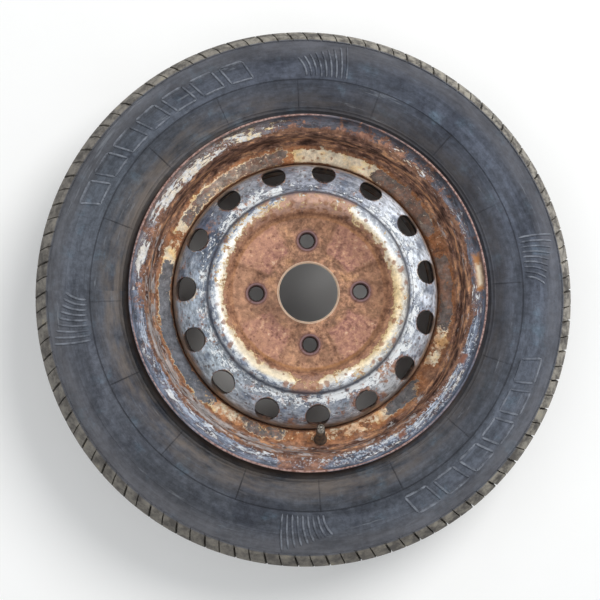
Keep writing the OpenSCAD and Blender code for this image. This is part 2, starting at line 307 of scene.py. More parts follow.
def cut_and_joined(shape, steps):
    """The shape after a list of boolean steps (operation, other shape)."""
    base = plain_object("base", shape)
    others = []
    for operation, other in steps:
        others.append(plain_object("other", other))
        change = base.modifiers.new("change", "BOOLEAN")
        change.operation = operation
        change.solver = "MANIFOLD"
        change.object = others[-1]
    result = bmesh.new()
    result.from_mesh(base.evaluated_get(bpy.context.evaluated_depsgraph_get()).to_mesh())
    for done in [base] + others:
        bpy.data.objects.remove(done)
    return result


def rod(radius, length, place, segments=48):
    """Round cutter along its own Z, centred on a place in metres."""
    shape = bmesh.new()
    bmesh.ops.create_cone(shape, cap_ends=True, segments=segments, radius1=radius * MM,
                          radius2=radius * MM, depth=length * MM, matrix=place)
    return shape


def joined(shapes):
    """One bmesh that holds several."""
    whole = bmesh.new()
    for shape in shapes:
        part = bpy.data.meshes.new("part")
        shape.to_mesh(part)
        shape.free()
        whole.from_mesh(part)
        bpy.data.meshes.remove(part)
    return whole


def bar(cuts, place):
    """Closed bar of cuts + 1 lengths.

    place turns (along, across, up), each from -0.5 to 0.5, into a point in metres.
    """
    shape = bmesh.new()
    bmesh.ops.create_cube(shape, size=1)
    long_edges = [edge for edge in shape.edges
                  if abs(edge.verts[0].co.x - edge.verts[1].co.x) > 0.5]
    bmesh.ops.subdivide_edges(shape, edges=long_edges, cuts=cuts, use_grid_fill=True)
    for vert in shape.verts:
        vert.co = place(*vert.co)
    return shape


# ---------------------------------------------------------------- rim
def rim_side(side):
    """Half of the rim's sheet path, from the lip to the well; side is 1 for the street side."""
    return [
        (LIP_R - RIM_T / 2, side * (RIM_W / 2 + LIP_W - RIM_T / 2), 0),
        (LIP_R - RIM_T / 2, side * FLANGE_MID, FLANGE_BEND),
        (SEAT_MID_R, side * FLANGE_MID, FLANGE_BEND),
        (SEAT_MID_R - (SEAT_W - HUMP_W) * tan(SEAT_SLOPE),
         side * (FLANGE_MID - SEAT_W + HUMP_W), HUMP_BEND),
        (HUMP_R, side * (FLANGE_MID - SEAT_W + HUMP_W / 2), HUMP_BEND / 2),
        (SEAT_END_R, side * (FLANGE_MID - SEAT_W), HUMP_BEND),
        (SEAT_END_R - WELL_LEAD, side * WELL_TOP, HUMP_BEND / 2),
        (WELL_MID_R, side * WELL_END, WELL_BEND),
    ]


def make_rim():
    path = refined(rounded(rim_side(1) + rim_side(-1)[::-1]), 6)
    outline = [(p.x, p.y + MID_Z) for p in sheet(path, RIM_T)]
    shape = spun(outline, RIM_STEPS)
    for vert in shape.verts:
        angle = atan2(vert.co.y, vert.co.x)
        dent = smooth(vert.co.z / MM, LIP_Z - LIP_DENT_H, LIP_Z)
        wave = 0.35 * sin(3 * angle + 0.6) + 0.25 * sin(7 * angle + 2.0) + 0.12 * sin(17 * angle)
        vert.co.z += (wave - 0.7) * dent * MM
    return cut_and_joined(shape, [("DIFFERENCE", rod(VALVE_HOLE_R, 20, AT_VALVE))])


# ---------------------------------------------------------------- wheel disc
def disc_path():
    """Skirt, outer roll, groove, ridge and hub face, along the middle of the sheet."""
    roll = [(ROLL_C_R + ROLL_MID * sin(a), ROLL_C_Z + ROLL_MID * cos(a), 0)
            for a in (pi / 2 - (pi / 2 - ROLL_END) * i / 36 for i in range(36))]
    return [(SKIRT_OUT_R - DISC_T / 2, SKIRT_LOW_Z + DISC_T / 2, 0)] + roll + [
        (GROOVE_R, GROOVE_MID_Z, RIDGE_BEND),
        (CREST_OUT_R, GROOVE_MID_Z + RIDGE_H, RIDGE_BEND),
        (CREST_IN_R, GROOVE_MID_Z + RIDGE_H, PRESS_BEND),
        (HUB_FACE_R, HUB_MID_Z, PRESS_BEND),
        (BORE_R + DISC_T / 2, HUB_MID_Z, 0),
    ]


def lobe_lift(x, y):
    """Height of the pressed lobes over the hub face at a point in millimetres."""
    radius = hypot(x, y)
    from_bolt = (degrees(atan2(y, x)) - BOLT_A) % 90
    off_edge = (LOBE_A / 2 - abs(from_bolt - 45)) * pi / 180 * radius
    return LOBE_H * smooth(off_edge, -1.8, 1.8) * smooth(radius, LOBE_IN_R - 1.8, LOBE_IN_R + 1.8)


def press_lobes(shape, outline):
    """Raises both skins of the hub face into the four lobes."""
    row = shape.verts.layers.int["row"]
    for vert in shape.verts:
        x, y, z = vert.co / MM
        if LOBE_IN_R - 4 < hypot(x, y) < CREST_IN_R and z > MOUNT_Z - 1:
            top = outline[vert[row]][2]
            floor = (HUB_TOP_Z if top else MOUNT_Z) + lobe_lift(x, y)
            vert.co.z = max(z, floor) * MM


def bolt_collar(index):
    """Ring with its cone seat that stands round one bolt hole."""
    top = HUB_TOP_Z + BOLT_COLLAR_H
    cone_low = MOUNT_Z + (BOLT_COLLAR_H + DISC_T) / 6
    outline = rounded([
        (BOLT_HOLE_R + 3, MOUNT_Z + 0.02, 0),
        (BOLT_HOLE_R, MOUNT_Z + 0.02, 0),
        (BOLT_HOLE_R, cone_low, 0),
        (BOLT_SEAT_R, top, 0.35),
        (BOLT_COLLAR_R - 0.6, top, 0.9),
        (BOLT_COLLAR_R + 0.6, HUB_TOP_Z - 0.6, 0),
        (BOLT_COLLAR_R + 0.6, HUB_TOP_Z - 1.6, 0),
        (BOLT_HOLE_R + 3, HUB_TOP_Z - 1.6, 0),
    ])
    shape = spun(outline, 72)
    angle = radians(BOLT_A) + index * TURN / BOLT_N
    centre = (BOLT_R * MM * cos(angle), BOLT_R * MM * sin(angle), 0)
    bmesh.ops.translate(shape, verts=shape.verts, vec=centre)
    return shape


def around(count, first, distance, height, tilt=0.0):
    """Places in metres at equal angles round the wheel axis, each tilted outwards."""
    return [Matrix.Rotation(radians(first) + i * TURN / count, 4, "Z")
            @ Matrix.Translation((distance * MM, 0, height * MM))
            @ Matrix.Rotation(tilt, 4, "Y") for i in range(count)]


def vent_cutter(place):
    """Tool of a vent hole, flatter on the side away from the wheel axis."""
    shape = rod(VENT_D / 2, 40, Matrix.Identity(4), 64)
    half = VENT_D / 2 * MM
    for vert in shape.verts:
        if vert.co.x > 0:
            vert.co.x = 0.8 * half * max(0.0, 1 - (abs(vert.co.y) / half) ** 3) ** 0.4
    bmesh.ops.transform(shape, matrix=place, verts=shape.verts)
    return shape


def make_wheel_disc():
    path = refined(rounded(disc_path()), 1.9)
    top_skin = beside(path, DISC_T / 2)
    low_skin = beside(path, -DISC_T / 2)[::-1]
    if top_skin[-1].y < low_skin[0].y:
        top_skin, low_skin = low_skin[::-1], top_skin[::-1]
    outline = ([(p.x, p.y, True) for p in top_skin]
               + [(p.x, p.y, True) for p in end_cap(path, DISC_T)]
               + [(p.x, p.y, False) for p in low_skin]
               + [(p.x, p.y, False) for p in end_cap(path[::-1], DISC_T)])
    shape = spun(outline, DISC_STEPS)
    press_lobes(shape, outline)
    holes = [rod(BOLT_HOLE_R + 1.5, 30, place)
             for place in around(BOLT_N, BOLT_A, BOLT_R, HUB_MID_Z)]
    vents = [vent_cutter(place) for place in around(VENT_N, VENT_A, VENT_R, VENT_Z, VENT_LEAN)]
    collars = [bolt_collar(i) for i in range(BOLT_N)]
    return cut_and_joined(shape, [("DIFFERENCE", joined(holes + vents)),
                                  ("UNION", joined(collars))])


def make_weld_beads():
    """Short weld beads between the disc's skirt and the rim."""
    beads = []
    for i in range(WELD_N):
        outline = [
            (SKIRT_OUT_R + SKIRT_FIT, SKIRT_LOW_Z - WELD_LEG),
            (SKIRT_OUT_R + SKIRT_FIT, SKIRT_LOW_Z + WELD_BITE),
            (SKIRT_OUT_R - DISC_T + WELD_BITE, SKIRT_LOW_Z + WELD_BITE),
            (SKIRT_OUT_R - DISC_T - 0.6, SKIRT_LOW_Z - 0.4),
            (SKIRT_OUT_R - DISC_T / 2, SKIRT_LOW_Z - 2.9),
        ]
        bead = spun(outline, 36, radians(WELD_A))
        for vert in bead.verts:
            along = degrees(atan2(vert.co.y, vert.co.x))
            ripple = 0.35 * abs(sin(along * 4.2)) * smooth(SKIRT_LOW_Z - vert.co.z / MM, 0, 2)
            vert.co.z -= ripple * MM
        turn = Matrix.Rotation(radians(WELD_FIRST + i * 360 / WELD_N - WELD_A / 2), 3, "Z")
        bmesh.ops.rotate(bead, verts=bead.verts, cent=(0, 0, 0), matrix=turn)
        beads.append(bead)
    return joined(beads)


# ---------------------------------------------------------------- tyre
PITCHES = 54
PITCH_CELLS = (0, 0.075, 0.22, 0.36, 0.5, 0.545, 0.70, 0.85)
TYRE_STEPS = PITCHES * len(PITCH_CELLS)
TYRE_CELL = TURN / TYRE_STEPS
GROOVE_CELL = 0
SIPE_CELL = 4
TREAD_BORDER_R = 283.0
TREAD_ROWS = (("lug", 33, 8), ("groove", 8, 2), ("lug", 27, 5), ("groove", 9, 2), ("lug", 27, 5),
              ("groove", 8, 2), ("lug", 33, 8))
TREAD_DEPTH = 6.2
LUG_PROUD = 0.9
TREAD_SWAY = radians(2.2)
RING_GROOVE_R = 237.0
RING_STEP = 0.45
NEAR_RING_STEP = 1.1
WALL_STEP = 3.0
LOW_WALL_STEP = 7.0
RING_RIDGES = ((203.0, 0.55), (206.5, 0.4), (229.0, 0.25), (262.5, 0.3))


def across(k):
    """Share k of the way from the rim lip to the tread."""
    return LIP_R + k * (TYRE_R - LIP_R)


def tyre_outer():
    """Outer skin from the loose upper bead over the tread to the lower bead."""
    return rounded([
        (BEAD_R, TOP_BEAD_Z - BEAD_W, 0),
        (BEAD_R, TOP_BEAD_Z, HEEL_R / 2),
        (BEAD_R + BEAD_W, TOP_BEAD_Z + 2, 6),
        (LIP_R + 5, CROWN_Z - 8, 10),
        (across(0.28), CROWN_Z, 30),
        (across(0.52), CROWN_Z - 0.5, 60),
        (across(0.87), SHOULDER_Z, 12),
        (TYRE_R - 2, SHOULDER_Z - 14, 14),
        (TYRE_R, SHOULDER_Z / 2, 60),
        (TYRE_R - 5, 14, 14),
        (across(0.84), 0, 12),
        (across(0.26), 0, 12),
        (LIP_R + 6, FLANGE_LIFT + 4, 8),
        (LIP_R - 4, LOW_BEAD_Z, 4),
        (BEAD_R, LOW_BEAD_Z, HEEL_R),
        (BEAD_R, LOW_BEAD_Z + BEAD_W, 0),
    ])


def tyre_inner():
    """Inner skin from the lower bead back to the upper one."""
    return rounded([
        (BEAD_R, LOW_BEAD_Z + BEAD_W, 0),
        (BEAD_R + 5, LOW_BEAD_Z + BEAD_W + 2, 4),
        (LIP_R + 2, LOW_BEAD_Z + BEAD_W, 8),
        (LIP_R + 8 + WALL_T, WALL_T + 4, 14),
        (across(0.3), WALL_T, 20),
        (across(0.8), WALL_T, 14),
        (TYRE_R - TREAD_T - 4, WALL_T + TREAD_T, 14),
        (TYRE_R - TREAD_T, SHOULDER_Z / 2, 50),
        (TYRE_R - TREAD_T - 3, SHOULDER_Z - TREAD_T - 14, 16),
        (across(0.82), SHOULDER_Z - TREAD_T + 1, 16),
        (across(0.52), CROWN_Z - WALL_T - 1, 60),
        (across(0.28), CROWN_Z - WALL_T, 30),
        (LIP_R + 5 + WALL_T / 2, CROWN_Z - WALL_T - 8, 8),
        (BEAD_R + BEAD_W + WALL_T / 2, TOP_BEAD_Z - BEAD_W / 2, 5),
        (BEAD_R + 5, TOP_BEAD_Z - BEAD_W - 1, 3),
        (BEAD_R, TOP_BEAD_Z - BEAD_W, 0),
    ], 3)[1:-1]


def slump(radius, angle):
    """Uneven sag of the upper sidewall, in millimetres."""
    reach = (smooth(radius, LIP_R + 4, LIP_R + 30)
             * (1 - smooth(radius, TREAD_BORDER_R - 18, TYRE_R - 2)))
    return reach * (-1.1 + 0.7 * sin(2 * angle + 0.4) + 0.45 * sin(5 * angle + 1.9)
                    + 0.2 * sin(11 * angle))


def sidewall_relief(radius):
    """Moulded rings of the upper sidewall, in millimetres off its skin."""
    rise = -0.75 * (1 - smooth(abs(radius - RING_GROOVE_R), 0.3, 1.0))
    rise -= 0.6 * (1 - smooth(abs(radius - TREAD_BORDER_R), 0.3, 0.9))
    for ridge, height in RING_RIDGES:
        rise += height * (1 - smooth(abs(radius - ridge), 0.2, 1.0))
    return rise


OUTER_SKIN = tyre_outer()


def skin_marks():
    """Distances along the outer skin of the tread border and the end of the tread."""
    marks = lengths(OUTER_SKIN)
    for i, (a, b) in enumerate(zip(OUTER_SKIN, OUTER_SKIN[1:])):
        if a.x <= TREAD_BORDER_R < b.x:
            border = marks[i] + (marks[i + 1] - marks[i]) * (TREAD_BORDER_R - a.x) / (b.x - a.x)
            break
    low = next(mark for mark, p in zip(marks, OUTER_SKIN) if mark > border and p.y < 2.0)
    return border, low, marks[-1]


def wall_point(radius):
    """Height and slope of the upper sidewall's skin at a radius."""
    for a, b in zip(OUTER_SKIN, OUTER_SKIN[1:]):
        if a.x <= radius < b.x and b.y > SHOULDER_Z - 10:
            k = (radius - a.x) / (b.x - a.x)
            return a.y + k * (b.y - a.y), (b.y - a.y) / (b.x - a.x)
    return SHOULDER_Z, 0.0


def on_wall(radius, angle, height):
    """Point in metres at a height over the upper sidewall."""
    z, slope = wall_point(radius)
    stretch = 1 / hypot(1, slope)
    r = radius - slope * stretch * height
    z += stretch * height + slump(radius, angle)
    return Vector((r * cos(angle), r * sin(angle), z)) * MM


def outer_rows():
    """Distances along the outer skin, and the kind of surface that starts at each."""
    border, low, end = skin_marks()
    rows = []
    features = [RING_GROOVE_R, TREAD_BORDER_R] + [radius for radius, _ in RING_RIDGES]
    distance = 0.0
    while distance < border - 0.4:
        rows.append((distance, "wall"))
        here = resampled(OUTER_SKIN, [distance])[0]
        near = min((abs(here.x - radius) for radius in features), default=9)
        upper = here.y > TOP_BEAD_Z + 4
        distance += (RING_STEP if upper and near < 1.5
                     else NEAR_RING_STEP if upper and near < 3 else WALL_STEP)
    width = sum(row[1] for row in TREAD_ROWS)
    distance = border
    for kind, wide, cells in TREAD_ROWS:
        step = wide / width * (low - border) / cells
        for _ in range(cells):
            rows.append((distance, kind))
            distance += step
    rows.append((low, "wall"))
    distance = low + 3
    while distance < end - 1:
        rows.append((distance, "wall"))
        distance += LOW_WALL_STEP
    rows.append((end, "wall"))
    return rows, border, low


def tread_outline(rows, border, low):
    """Outline of the casing's outer skin, and how its points lift onto the tread blocks."""
    skin = resampled(OUTER_SKIN, [distance for distance, _ in rows])
    lifts = []
    outline = []
    for i, ((distance, kind), point) in enumerate(zip(rows, skin)):
        side, _ = left_of(skin, i)
        inside = min(distance - border, low - distance)
        depth = TREAD_DEPTH * smooth(inside, 0, 15) if inside > 0 else 0.0
        proud = LUG_PROUD * (1 - smooth(inside, 6, 18)) if 0 <= inside else 0.0
        if distance < border and point.y > TOP_BEAD_Z + 4:
            depth = -sidewall_relief(point.x)
        lifts.append((side, depth * (0 <= inside) + proud))
        outline.append(point - side * depth)
    return outline, lifts


def block_faces(shape, rows):
    """Faces of the spun casing that become the tops of tread blocks."""
    kinds = [kind for _, kind in rows]
    row = shape.verts.layers.int["row"]
    blocks = []
    for face in shape.faces:
        indices = {vert[row] for vert in face.verts}
        first = min(indices)
        if max(indices) >= len(rows) or max(indices) - first != 1 or kinds[first] != "lug":
            continue
        centre = face.calc_center_median()
        step = int(atan2(centre.y, centre.x) % TURN / TYRE_CELL) % len(PITCH_CELLS)
        if step not in (GROOVE_CELL, SIPE_CELL):
            blocks.append(face)
    return blocks


def make_tyre():
    rows, border, low = outer_rows()
    outline, lifts = tread_outline(rows, border, low)
    shape = spun(outline + tyre_inner(), TYRE_STEPS)
    row = shape.verts.layers.int["row"]
    raised = bmesh.ops.extrude_face_region(shape, geom=block_faces(shape, rows))["geom"]
    for vert in raised:
        if isinstance(vert, bmesh.types.BMVert):
            side, lift = lifts[vert[row]]
            angle = atan2(vert.co.y, vert.co.x)
            vert.co += Vector((side.x * cos(angle), side.x * sin(angle), side.y)) * lift * MM
    for vert in shape.verts:
        x, y, z = vert.co / MM
        radius = hypot(x, y)
        angle = atan2(y, x) % TURN
        index = round(angle / TYRE_CELL)
        pitch, step = divmod(index, len(PITCH_CELLS))
        share = PITCH_CELLS[step] if index < TYRE_STEPS else 0
        turned = (pitch + share) * TURN / PITCHES
        if vert[row] < len(rows):
            inside = (rows[vert[row]][0] - border) / (low - border)
            if 0 < inside < 1:
                turned += TREAD_SWAY * (1 - (2 * inside - 1) ** 2)
        if z > SHOULDER_Z / 2:
            z += slump(radius, turned)
        vert.co = Vector((radius * cos(turned), radius * sin(turned), z)) * MM
    bmesh.ops.recalc_face_normals(shape, faces=shape.faces)
    return shape


# Raised marks of the upper sidewall
MOULD_LINES = 16
MOULD_FIRST = 3.0
RIB_CLUSTERS = ((9, 9, -1), (86, 9, 1), (187, 9, -1), (269, 9, 1))
PANELS = ((132, 55, 7), (320, 50, 6))
PANEL_LOW_R = 245.0
PANEL_HIGH_R = 267.0
PANEL_SLANT = radians(1.6)
MARK_H = 1.6
FRAME_W = 3.2
RIB_W = 2.9
RIB_LOW_R = 240.5


def wall_bar(cuts, path, width, height):
    """Raised bar on the sidewall along path(k) -> (radius, angle), k from 0 to 1."""
    def place(along, sideways, up):
        k = along + 0.5
        here = Vector(path(k))
        step = Vector(path(min(k + 0.01, 1.0))) - Vector(path(max(k - 0.01, 0.0)))
        flow = Vector((step.x, here.x * step.y)).normalized()
        ends = min(1.0, 12 * k * (1 - k) + 0.15)
        off = sideways * width * (0.55 if up > 0 else 1.0) * ends
        radius = here.x - flow.y * off
        angle = here.y + flow.x * off / here.x
        return on_wall(radius, angle, height * ends if up > 0 else -0.8)
    return bar(cuts, place)


def make_sidewall_marks():
    bars = []
    for i in range(MOULD_LINES):
        angle = radians(MOULD_FIRST + i * 360 / MOULD_LINES)
        bars.append(wall_bar(10, lambda k: (205.0 + k * (RING_GROOVE_R - 206.5), angle), 1.1, 0.5))
    for centre, ribs, lean in RIB_CLUSTERS:
        for i in range(ribs):
            start = radians(centre + lean * (i - ribs / 2) * 1.3)
            bend = lean * radians(1.0 + 1.2 * i / ribs)
            reach = 40 - i * 20 / ribs
            bars.append(wall_bar(12, lambda k: (RIB_LOW_R + k * reach, start + bend * k * k),
                                 RIB_W, MARK_H))
    for centre, spread, blocks in PANELS:
        for i in range(blocks):
            left = radians(centre - spread / 2 + i * spread / blocks)
            wide = radians(0.74 * spread / blocks)
            for radius, shift in ((PANEL_LOW_R, 0.0), (PANEL_HIGH_R, PANEL_SLANT)):
                bars.append(wall_bar(10, lambda k: (radius, left + shift + k * wide),
                                     FRAME_W, MARK_H))
            for angle in (left, left + wide):
                def upright(k):
                    return PANEL_LOW_R + k * (PANEL_HIGH_R - PANEL_LOW_R), angle + k * PANEL_SLANT
                bars.append(wall_bar(8, upright, FRAME_W, MARK_H))
    return joined(bars)


# ---------------------------------------------------------------- valve
def make_valve_stem():
    outline = rounded([
        (3.65, -10.6, 0), (5.0, -10.6, 0.8), (9.0, -4.6, 1.5), (9.0, -1.6, 0.4), (5.35, -1.6, 0),
        (5.35, 1.6, 0), (7.5, 1.6, 0.4), (7.0, 3.6, 0.8), (5.5, 7.6, 2), (4.9, 21.0, 0.5),
        (4.3, STEM_TOP, 0.3), (3.65, STEM_TOP, 0),
    ])
    shape = spun(outline, VALVE_STEPS)
    bmesh.ops.transform(shape, matrix=AT_VALVE, verts=shape.verts)
    return shape


def make_valve_insert():
    turns = 9
    first = STEM_TOP + 0.4
    pitch = (VALVE_L - first - 0.8) / turns
    thread = []
    for i in range(turns):
        z = first + i * pitch
        thread += [(radius, z + k * pitch, 0)
                   for radius, k in ((3.45, 0), (3.85, 0.35), (3.85, 0.6), (3.45, 0.95))]
    outline = rounded(
        [(2.1, -6, 0), (3.55, -6, 0), (3.55, STEM_TOP + 0.2, 0)] + thread
        + [(3.6, VALVE_L, 0.5), (2.6, VALVE_L, 0.3), (2.6, VALVE_L - 7.6, 0),
           (2.1, VALVE_L - 8.2, 0)])
    shape = spun(outline, VALVE_STEPS)
    bmesh.ops.transform(shape, matrix=AT_VALVE, verts=shape.verts)
    return shape


# ---------------------------------------------------------------- finishes
def shade(red, green, blue):
    """Colour as seen, 0 to 255, in the linear values that shaders take."""
    return tuple((c / 255 / 12.92 if c <= 10 else ((c / 255 + 0.055) / 1.055) ** 2.4)
                 for c in (red, green, blue)) + (1.0,)


def linear(colour):
    """A colour as seen (red, green, blue) made linear; one of four parts is linear already."""
    return shade(*colour) if len(colour) == 3 else colour


class Nodes:
    """Short calls that add nodes to one tree."""

    def __init__(self, tree):
        self.tree = tree

    def add(self, kind, inputs=None, **settings):
        node = self.tree.nodes.new(kind)
        for name, value in settings.items():
            setattr(node, name, value)
        for name, value in (inputs or {}).items():
            self.feed(node.inputs[name], value)
        return node

    def feed(self, socket, value):
        if isinstance(value, bpy.types.NodeSocket):
            self.tree.links.new(value, socket)
        else:
            socket.default_value = linear(value) if socket.type == "RGBA" else value

    def plus(self, a, b):
        return self.maths("ADD", a, b)

    def minus(self, a, b):
        return self.maths("SUBTRACT", a, b)

    def flakes(self, vector, scale, cover, **more):
        """Outputs of the flaked coat: Mask, Halo and Depth."""
        return self.group(FLAKES, {"Vector": vector, "Scale": scale, "Cover": cover, **more})

    def speckle(self, vector, scale, size):
        """Mask of small separate chips."""
        return self.group(SPECKLE, {"Vector": vector, "Scale": scale, "Size": size})["Mask"]

    def lay(self, under, top, *masks):
        """Colour top laid over colour under where every mask is 1."""
        return self.over(self.times(*masks), under, top)

    def maths(self, operation, *values, clamp=False):
        node = self.add("ShaderNodeMath", operation=operation, use_clamp=clamp)
        for socket, value in zip(node.inputs, values):
            self.feed(socket, value)
        return node.outputs[0]

    def band(self, value, low, high, to_low=0.0, to_high=1.0):
        """Soft step of a value between low and high."""
        node = self.add("ShaderNodeMapRange", {"Value": value, "From Min": low, "From Max": high,
                                               "To Min": to_low, "To Max": to_high},
                        interpolation_type="SMOOTHSTEP")
        return node.outputs[0]

    def between(self, value, low, high, soft):
        """1 where a value lies between low and high."""
        return self.maths("MULTIPLY", self.band(value, low - soft, low + soft),
                          self.band(value, high + soft, high - soft))

    def over(self, mask, under, top, how="MIX"):
        """Colour top laid over colour under where the mask is 1."""
        node = self.add("ShaderNodeMix", data_type="RGBA", blend_type=how)
        self.feed(node.inputs[0], mask)
        self.feed(node.inputs[6], under)
        self.feed(node.inputs[7], top)
        return node.outputs[2]

    def noise(self, vector, scale, detail=4.0, roughness=0.55, distortion=0.0):
        node = self.add("ShaderNodeTexNoise", {
            "Vector": vector, "Scale": scale, "Detail": detail, "Roughness": roughness,
            "Distortion": distortion})
        return node.outputs["Fac"]

    def ramp(self, value, stops, how="LINEAR"):
        """Colour ramp through stops (position, colour)."""
        node = self.add("ShaderNodeValToRGB", {"Fac": value})
        node.color_ramp.interpolation = how
        elements = node.color_ramp.elements
        while len(elements) < len(stops):
            elements.new(0.5)
        for element, (position, colour) in zip(elements, stops):
            element.position = position
            element.color = linear(colour)
        return node.outputs["Color"]

    def round_ramp(self, angle, stops):
        """Colour that changes round the wheel, through stops {degrees: colour}."""
        stops = [(at, linear(colour)) for at, colour in stops.items()]
        first, last = stops[0], stops[-1]
        gap = 360 - last[0] + first[0]
        k = (360 - last[0]) / gap
        seam = tuple(a + (b - a) * k for a, b in zip(last[1], first[1]))
        closed = [(0.0, seam)] + [(at / 360, colour) for at, colour in stops] + [(1.0, seam)]
        return self.ramp(self.maths("DIVIDE", angle, 360.0), closed)

    def round_level(self, angle, stops):
        """Number that changes round the wheel, through stops {degrees: level}."""
        return self.round_ramp(angle, {at: (level, level, level, 1.0)
                                       for at, level in stops.items()})

    def stretched(self, vector, along):
        """Vector whose first part, along the wheel's turn, is drawn out."""
        node = self.add("ShaderNodeVectorMath", {0: vector, 1: (along, 1.0, 1.0)},
                        operation="MULTIPLY")
        return node.outputs[0]

    def times(self, *values):
        """Product of masks."""
        product = values[0]
        for value in values[1:]:
            product = self.maths("MULTIPLY", product, value)
        return product

    def group(self, tree, inputs=None):
        node = self.add("ShaderNodeGroup", node_tree=tree)
        for name, value in (inputs or {}).items():
            self.feed(node.inputs[name], value)
        return node.outputs


def new_group(name, inputs, outputs):
    """Empty node group with inputs (name, kind, value) and outputs (name, kind)."""
    tree = bpy.data.node_groups.new(name, "ShaderNodeTree")
    for label, kind, value in inputs:
        socket = tree.interface.new_socket(label, in_out="INPUT", socket_type="NodeSocket" + kind)
        if value is not None:
            socket.default_value = value
    for label, kind in outputs:
        tree.interface.new_socket(label, in_out="OUTPUT", socket_type="NodeSocket" + kind)
    entry = tree.nodes.new("NodeGroupInput")
    leave = tree.nodes.new("NodeGroupOutput")
    return Nodes(tree), entry.outputs, leave.inputs


def make_wheel_place():
    """Polar place on the wheel, with edges made ragged by noise."""
    n, given, out = new_group("wheel_place", [("Ragged", "Float", 4.0),
        ("Ragged scale", "Float", 60.0)], [("Angle", "Float"), ("Radius", "Float"),
        ("Height", "Float"), ("Ragged angle", "Float"), ("Ragged radius", "Float"),
        ("Place", "Vector"), ("Round", "Vector")])
    place = n.add("ShaderNodeTexCoord").outputs["Object"]
    split = n.add("ShaderNodeSeparateXYZ", {"Vector": place}).outputs
    radius = n.times(n.maths("SQRT", n.plus(n.times(split[0], split[0]),
        n.times(split[1], split[1]))), 1000.0)
    turn = n.times(n.maths("ARCTAN2", split[1], split[0]), 180 / pi)
    angle = n.maths("WRAP", turn, 360.0, 0.0)
    wobble = n.add("ShaderNodeTexNoise", {"Vector": place, "Scale": given["Ragged scale"],
        "Detail": 5.0, "Roughness": 0.62})
    parts = n.add("ShaderNodeSeparateColor", {"Color": wobble.outputs["Color"]}).outputs
    push = [n.times(n.minus(part, 0.5), given["Ragged"]) for part in parts[:2]]
    n.feed(out["Angle"], angle)
    n.feed(out["Radius"], radius)
    n.feed(out["Height"], n.times(split[2], 1000.0))
    n.feed(out["Ragged angle"], n.maths("WRAP", n.plus(angle,
        n.maths("DIVIDE", n.times(push[0], 180 / pi * 3), n.maths("MAXIMUM", radius, 20.0))), 360.0,
        0.0))
    n.feed(out["Ragged radius"], n.plus(radius, push[1]))
    n.feed(out["Place"], place)
    flow = n.add("ShaderNodeCombineXYZ", {"X": n.times(turn, 0.003),
        "Y": n.maths("DIVIDE", radius, 1000.0), "Z": split[2]})
    n.feed(out["Round"], flow.outputs[0])
    return n.tree


def make_arc_patch():
    """Mask of one patch between two radii, on both sides of an angle."""
    n, given, out = new_group("arc_patch", [("Angle", "Float", 0.0), ("Radius", "Float", 0.0),
        ("Centre", "Float", 0.0), ("Half", "Float", 5.0), ("Inner", "Float", 0.0),
        ("Outer", "Float", 100.0), ("Soft", "Float", 1.0)], [("Mask", "Float")])
    off = n.maths("ABSOLUTE", n.maths("WRAP", n.minus(given["Angle"], given["Centre"]), 180.0,
        -180.0))
    along = n.times(n.times(n.minus(off, given["Half"]), pi / 180), given["Radius"])
    inward = n.minus(given["Inner"], given["Radius"])
    outward = n.minus(given["Radius"], given["Outer"])
    worst = n.maths("MAXIMUM", along, n.maths("MAXIMUM", inward, outward))
    n.feed(out["Mask"], n.band(worst, given["Soft"], n.times(given["Soft"], -1.0)))
    return n.tree


def make_flakes():
    """Flaked coat: where it holds, the stain outside its edge, and the depth inside that edge."""
    n, given, out = new_group("flakes", [("Vector", "Vector", None), ("Scale", "Float", 200.0),
                                         ("Cover", "Float", 0.5), ("Soft", "Float", 0.01)],
                              [("Mask", "Float"), ("Halo", "Float"), ("Depth", "Float")])
    coarse = n.noise(given["Vector"], given["Scale"], 9.0, 0.72, 0.3)
    fine = n.noise(given["Vector"], n.times(given["Scale"], 5.1), 4.0, 0.65)
    field = n.plus(n.times(coarse, 0.76), n.times(fine, 0.24))
    depth = n.minus(field, n.maths("MULTIPLY_ADD", given["Cover"], -0.42, 0.71))
    n.feed(out["Mask"], n.band(depth, n.times(given["Soft"], -1.0), given["Soft"]))
    n.feed(out["Halo"], n.band(depth, -0.07, -0.005))
    n.feed(out["Depth"], depth)
    return n.tree


def make_rust():
    """Rust that runs from dark brown to orange, with its pits."""
    n, given, out = new_group("rust", [("Vector", "Vector", None), ("Scale", "Float", 60.0),
        ("Warmth", "Float", 0.5)], [("Color", "Color"), ("Pits", "Float")])
    broad = n.noise(given["Vector"], given["Scale"], 9.0, 0.74, 0.3)
    grain = n.noise(given["Vector"], n.times(given["Scale"], 5.0), 5.0, 0.7)
    field = n.plus(n.times(broad, 0.68), n.times(grain, 0.32))
    field = n.plus(field, n.times(n.minus(given["Warmth"], 0.5), 0.3))
    n.feed(out["Color"], n.ramp(field, [(0.35, (58, 38, 32)), (0.43, (106, 72, 56)),
                                        (0.50, (152, 110, 86)), (0.57, (182, 136, 106)),
                                        (0.65, (214, 166, 122))]))
    n.feed(out["Pits"], grain)
    return n.tree


